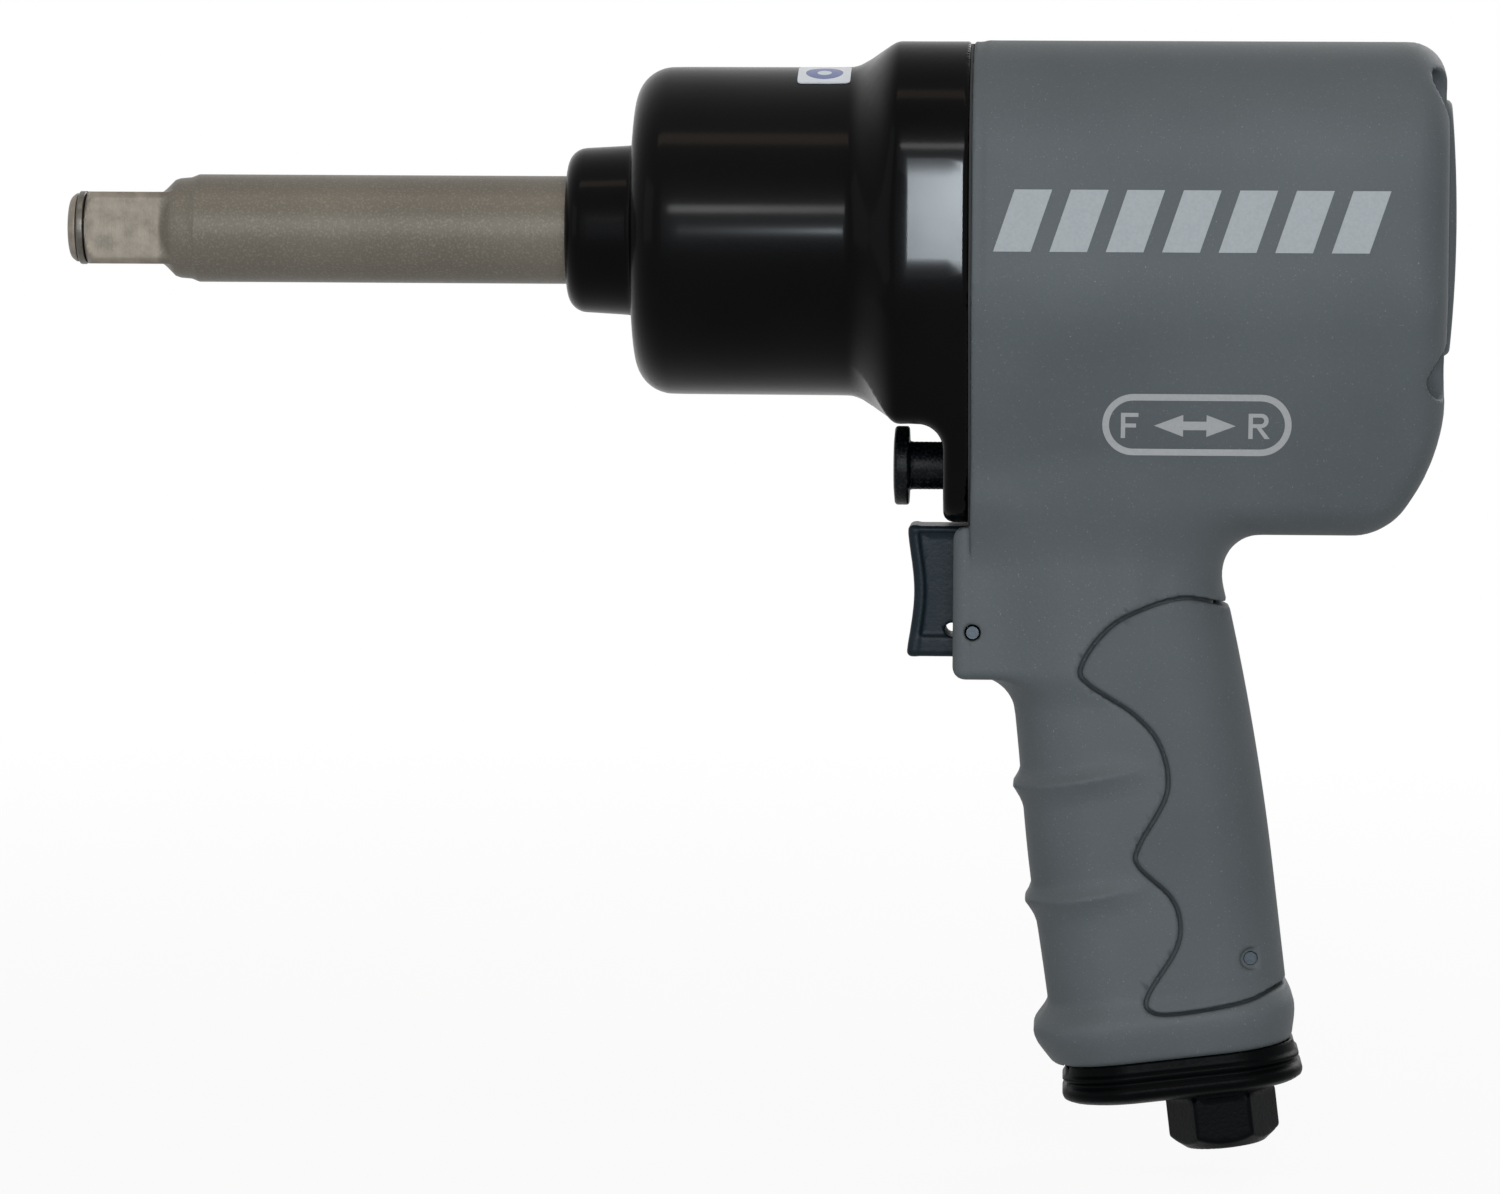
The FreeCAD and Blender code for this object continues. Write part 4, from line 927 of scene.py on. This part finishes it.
def moulded_black(name, dark, light, gloss=0.1):
    """Smooth black moulded plastic with a faint grain and a handled polish."""
    plastic = Finish(name, Specular_IOR_Level=gloss)
    grain = plastic.noise(1700, 4)
    worn = plastic.noise(300)
    plastic.drive("Base Color", plastic.mix(grain * 0.6 + worn * 0.4, dark, light))
    plastic.drive("Roughness", grain * 0.2 + worn * 0.15 + 0.22)
    plastic.bump(grain, 0.00004)
    return plastic


moulded_black("black_trigger_plastic", tone(12, 19, 24), tone(32, 44, 52)).on(trigger)


# Exhaust deflector and inlet --------
# A black moulded deflector turns under the foot and lets the exhaust out at its front.  The steel
# inlet bushing screws in through it, and its hexagon takes the hose fitting.
deflector_step = 0.4
deflector_low = (-32.5, 0.0, -9.0)
port_middle, port_half, port_width, port_corner = -21.0, 5.0, 9.0, 2.5
louvre_pitch, louvre_half, louvre_low, louvre_high = 3.0, 0.55, -5.2, -2.2
hub_radius = 9.6
u, y, h = samples(deflector_low, (16.5, 18.5, 1.2), deflector_step)
setback = np.interp(h, [-7.6, -7.0, -6.2, -5.2, -4.4, -3.9, -3.5, -3.1, -2.7, -2.3, -1.9, 0.2],
                    [2.6, 1.2, 0.4, 0.1, 0.3, 1.0, 1.1, 0.7, 0.4, 0.5, 1.0, 1.2])
shape = rounded_box(u + 6.4, y, 21.4 - setback, grip_half - 0.1 - setback, 11.5)
shape = common(common(shape, -7.5 - h, 1.8), h - 0.1, 0.2)
port = np.maximum(rounded_box(u - port_middle, y, port_half, port_width, port_corner), h - 3.0)
hub_hole = np.hypot(u, y) - hub_radius + 0 * h
shape = less(shape, np.minimum(port, hub_hole), 0.5)
louvres = np.abs(np.mod(y + louvre_pitch / 2, louvre_pitch) - louvre_pitch / 2) - louvre_half
louvres = np.maximum(louvres, np.abs(u - port_middle) - port_half - 0.5)
louvres = np.maximum(np.maximum(louvres, louvre_low - h), h - louvre_high)
louvres = np.maximum(louvres, rounded_box(u - port_middle, y, port_half + 0.2, port_width + 0.2, port_corner))
shape = np.minimum(shape, louvres)
deflector = field_piece("exhaust_deflector_skin", shape, deflector_low, deflector_step, out_of_grip)
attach(deflector, "tool_body")
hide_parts("exhaust_deflector")
moulded_black("black_deflector_plastic", tone(0, 1, 1), tone(6, 8, 9), 0.03).on(deflector)

hex_half, hex_low, hex_high = 8.5, -17.9, -8.5
collar_radius, collar_high, groove_root, groove_middle, groove_reach = 9.4, 20.0, 7.8, 9.2, 1.1
thread_radius, thread_pitch, thread_height, thread_end, way_radius = 5.8, 1.41, 0.22, -3.0, 4.6
inlet_step = 0.36
inlet_low = (-11.0, 0.0, hex_low - 1.2)
u, y, h = samples(inlet_low, (11.0, 11.0, 21.3), inlet_step)
from_hub = np.hypot(u, y)
hexagon = np.maximum(np.abs(y), np.abs(y) * 0.5 + np.abs(u) * 0.866) - hex_half
hexagon = common(common(hexagon + 0 * h, hex_low - h, 0.3), h - hex_high, 0.2)
hexagon = common(hexagon, (from_hub - 6.9) * 0.62 + (hex_low - h) * 0.785, 0.15)
hexagon = common(hexagon, (from_hub - 9.3) * 0.5 + (h - hex_high) * 0.866, 0.15)
collar = common(from_hub - collar_radius + 0 * h, np.maximum(-h - 8.6, h - collar_high), 0.3)
o_ring_groove = np.maximum(groove_root - from_hub, np.abs(h - groove_middle) - groove_reach)
shape = less(union(hexagon, collar, 0.2), o_ring_groove, 0.1)
thread = thread_radius + thread_height * np.abs(np.mod(h / thread_pitch, 1.0) * 2 - 1) + 0.05 * (-h - 10)
shape = less(shape, np.maximum(from_hub - thread, h - thread_end), 0.4)
shape = less(shape, from_hub - way_radius + 0 * h, 0.2)
inlet = field_piece("inlet_bushing_skin", shape, inlet_low, inlet_step, out_of_grip)
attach(inlet, "tool_body")
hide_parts("inlet_bushing")
blacked = Finish("blacked_inlet_steel", Specular_IOR_Level=0.04)
mill = blacked.noise(1300, 4)
rub = blacked.noise(240)
blacked.drive("Base Color", blacked.mix(mill * 0.5 + rub * 0.5, tone(0, 1, 2), tone(6, 9, 12)))
blacked.drive("Roughness", mill * 0.2 + rub * 0.1 + 0.22)
blacked.bump(mill, 0.00005)
blacked.on(inlet)


# Printed marks ---------------
# Pad-printed grey ink on the left side: a row of plain slanted bars, and an outlined pill that shows
# which way the reverse valve turns the tool, F for forwards and R for reverse.
surface = bmesh.new()
surface.from_mesh(housing.data)
housing_tree = BVHTree.FromBMesh(surface)
surface.free()
ink_lift = 0.06
ink_slice = 1.2
ray_offset = 0.0137


def printed(name, loops):
    """Ink in the shape of closed loops of (x, z) in millimetres, laid over the housing's left side."""
    bm = bmesh.new()
    for loop in loops:
        corners = [bm.verts.new((px, 0.0, pz)) for px, pz in loop]
        for a, b in zip(corners, corners[1:] + corners[:1]):
            bm.edges.new((a, b))
    bmesh.ops.triangle_fill(bm, use_beauty=True, use_dissolve=False, edges=bm.edges[:])
    low = min(vert.co.z for vert in bm.verts)
    high = max(vert.co.z for vert in bm.verts)
    for cut in np.arange(low + ink_slice, high, ink_slice):
        whole = bm.verts[:] + bm.edges[:] + bm.faces[:]
        bmesh.ops.bisect_plane(bm, geom=whole, plane_co=(0, 0, cut), plane_no=(0, 0, 1))
    top = bm.verts[:]
    for vert in top:
        aim = Vector((vert.co.x + ray_offset, -60.0, vert.co.z + ray_offset)) * millimetre
        vert.co.y = housing_tree.ray_cast(aim, Vector((0, 1, 0)))[0].y / millimetre - ink_lift
    under = bmesh.ops.extrude_face_region(bm, geom=bm.faces[:])["geom"]
    for vert in [item for item in under if isinstance(item, bmesh.types.BMVert)]:
        vert.co.y += ink_lift * 2.5
    points = [tuple(vert.co) for vert in bm.verts]
    bm.verts.index_update()
    faces = [[vert.index for vert in face.verts] for face in bm.faces]
    bm.free()
    mark = mesh_piece(name, points, faces, 60)
    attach(mark, "tool_body")
    return mark


def pill(low_x, high_x, low_z, high_z):
    """The outline of a bar with round ends."""
    radius = (high_z - low_z) / 2
    line = []
    for hub, start in ((high_x - radius, -90), (low_x + radius, 90)):
        line += [(hub + radius * math.cos(math.radians(start + 7.5 * step)),
                  low_z + radius + radius * math.sin(math.radians(start + 7.5 * step))) for step in range(25)]
    return line


pill_left, pill_right, pill_low, pill_high = 166.1, 198.6, -38.2, -27.5
pill_line = 1.15
mark_level = -33.0
ink_pill = printed("ink_pill", [
    pill(pill_left, pill_right, pill_low, pill_high),
    pill(pill_left + pill_line, pill_right - pill_line, pill_low + pill_line, pill_high - pill_line)])
arrow_left, arrow_right, head_length, head_half, shaft_half = 175.0, 189.0, 5.0, 1.9, 0.75
ink_arrow = printed("ink_arrow", [[
    (arrow_left, mark_level), (arrow_left + head_length, mark_level + head_half),
    (arrow_left + head_length, mark_level + shaft_half), (arrow_right - head_length, mark_level + shaft_half),
    (arrow_right - head_length, mark_level + head_half), (arrow_right, mark_level),
    (arrow_right - head_length, mark_level - head_half), (arrow_right - head_length, mark_level - shaft_half),
    (arrow_left + head_length, mark_level - shaft_half), (arrow_left + head_length, mark_level - head_half)]])
letter_low, letter_high, stroke = mark_level - 2.2, mark_level + 2.2, 0.75
f_left, f_bar_half = 169.3, 0.35
ink_forward = printed("ink_forward", [[
    (f_left, letter_low), (f_left + stroke, letter_low), (f_left + stroke, mark_level - f_bar_half),
    (f_left + 2.6, mark_level - f_bar_half), (f_left + 2.6, mark_level + f_bar_half),
    (f_left + stroke, mark_level + f_bar_half), (f_left + stroke, letter_high - 0.7),
    (f_left + 3.0, letter_high - 0.7), (f_left + 3.0, letter_high), (f_left, letter_high)]])
r_left = 191.2


def bowl_line(hub, radius):
    """The half circle of the R's bowl."""
    swing = [math.radians(degrees) for degrees in range(90, -91, -15)]
    return [(hub + radius * math.cos(a), letter_high - 1.25 + radius * math.sin(a)) for a in swing]


ink_reverse = printed("ink_reverse", [
    [(r_left, letter_low), (r_left, letter_high)] + bowl_line(r_left + 2.2, 1.25)
    + [(r_left + 2.2, letter_high - 2.5), (r_left + 3.7, letter_low), (r_left + 2.8, letter_low),
       (r_left + 1.4, letter_high - 2.5), (r_left + stroke, letter_high - 2.5),
       (r_left + stroke, letter_low)],
    [(r_left + stroke, letter_high - 0.67)] + bowl_line(r_left + 2.1, 0.58)
    + [(r_left + stroke, letter_high - 1.83)]])
bar_left, bar_low, bar_high, bar_count = 147.2, -3.2, 7.4, 7
bar_width, bar_pitch, bar_slant = 6.4, 9.6, 3.6
bar = ((0, bar_low), (bar_width, bar_low), (bar_width + bar_slant, bar_high), (bar_slant, bar_high))
ink_bars = printed("ink_bars", [[(bar_left + bar_pitch * number + across, up) for across, up in bar]
                                for number in range(bar_count)])


def ink(name, base):
    """Thin printed ink, a little uneven, that lets the moulded grain show through."""
    paint = Finish(name, Specular_IOR_Level=0.3)
    grain = paint.noise(1900, 4)
    paint.drive("Base Color", paint.mix(grain * 0.35, base, tone(110, 116, 120)))
    paint.drive("Roughness", grain * 0.15 + 0.5)
    paint.bump(grain, 0.00003)
    return paint


ink("grey_ink", tone(172, 173, 174)).on(ink_pill, ink_arrow, ink_forward, ink_reverse)
ink("pale_ink", tone(164, 171, 175)).on(ink_bars)
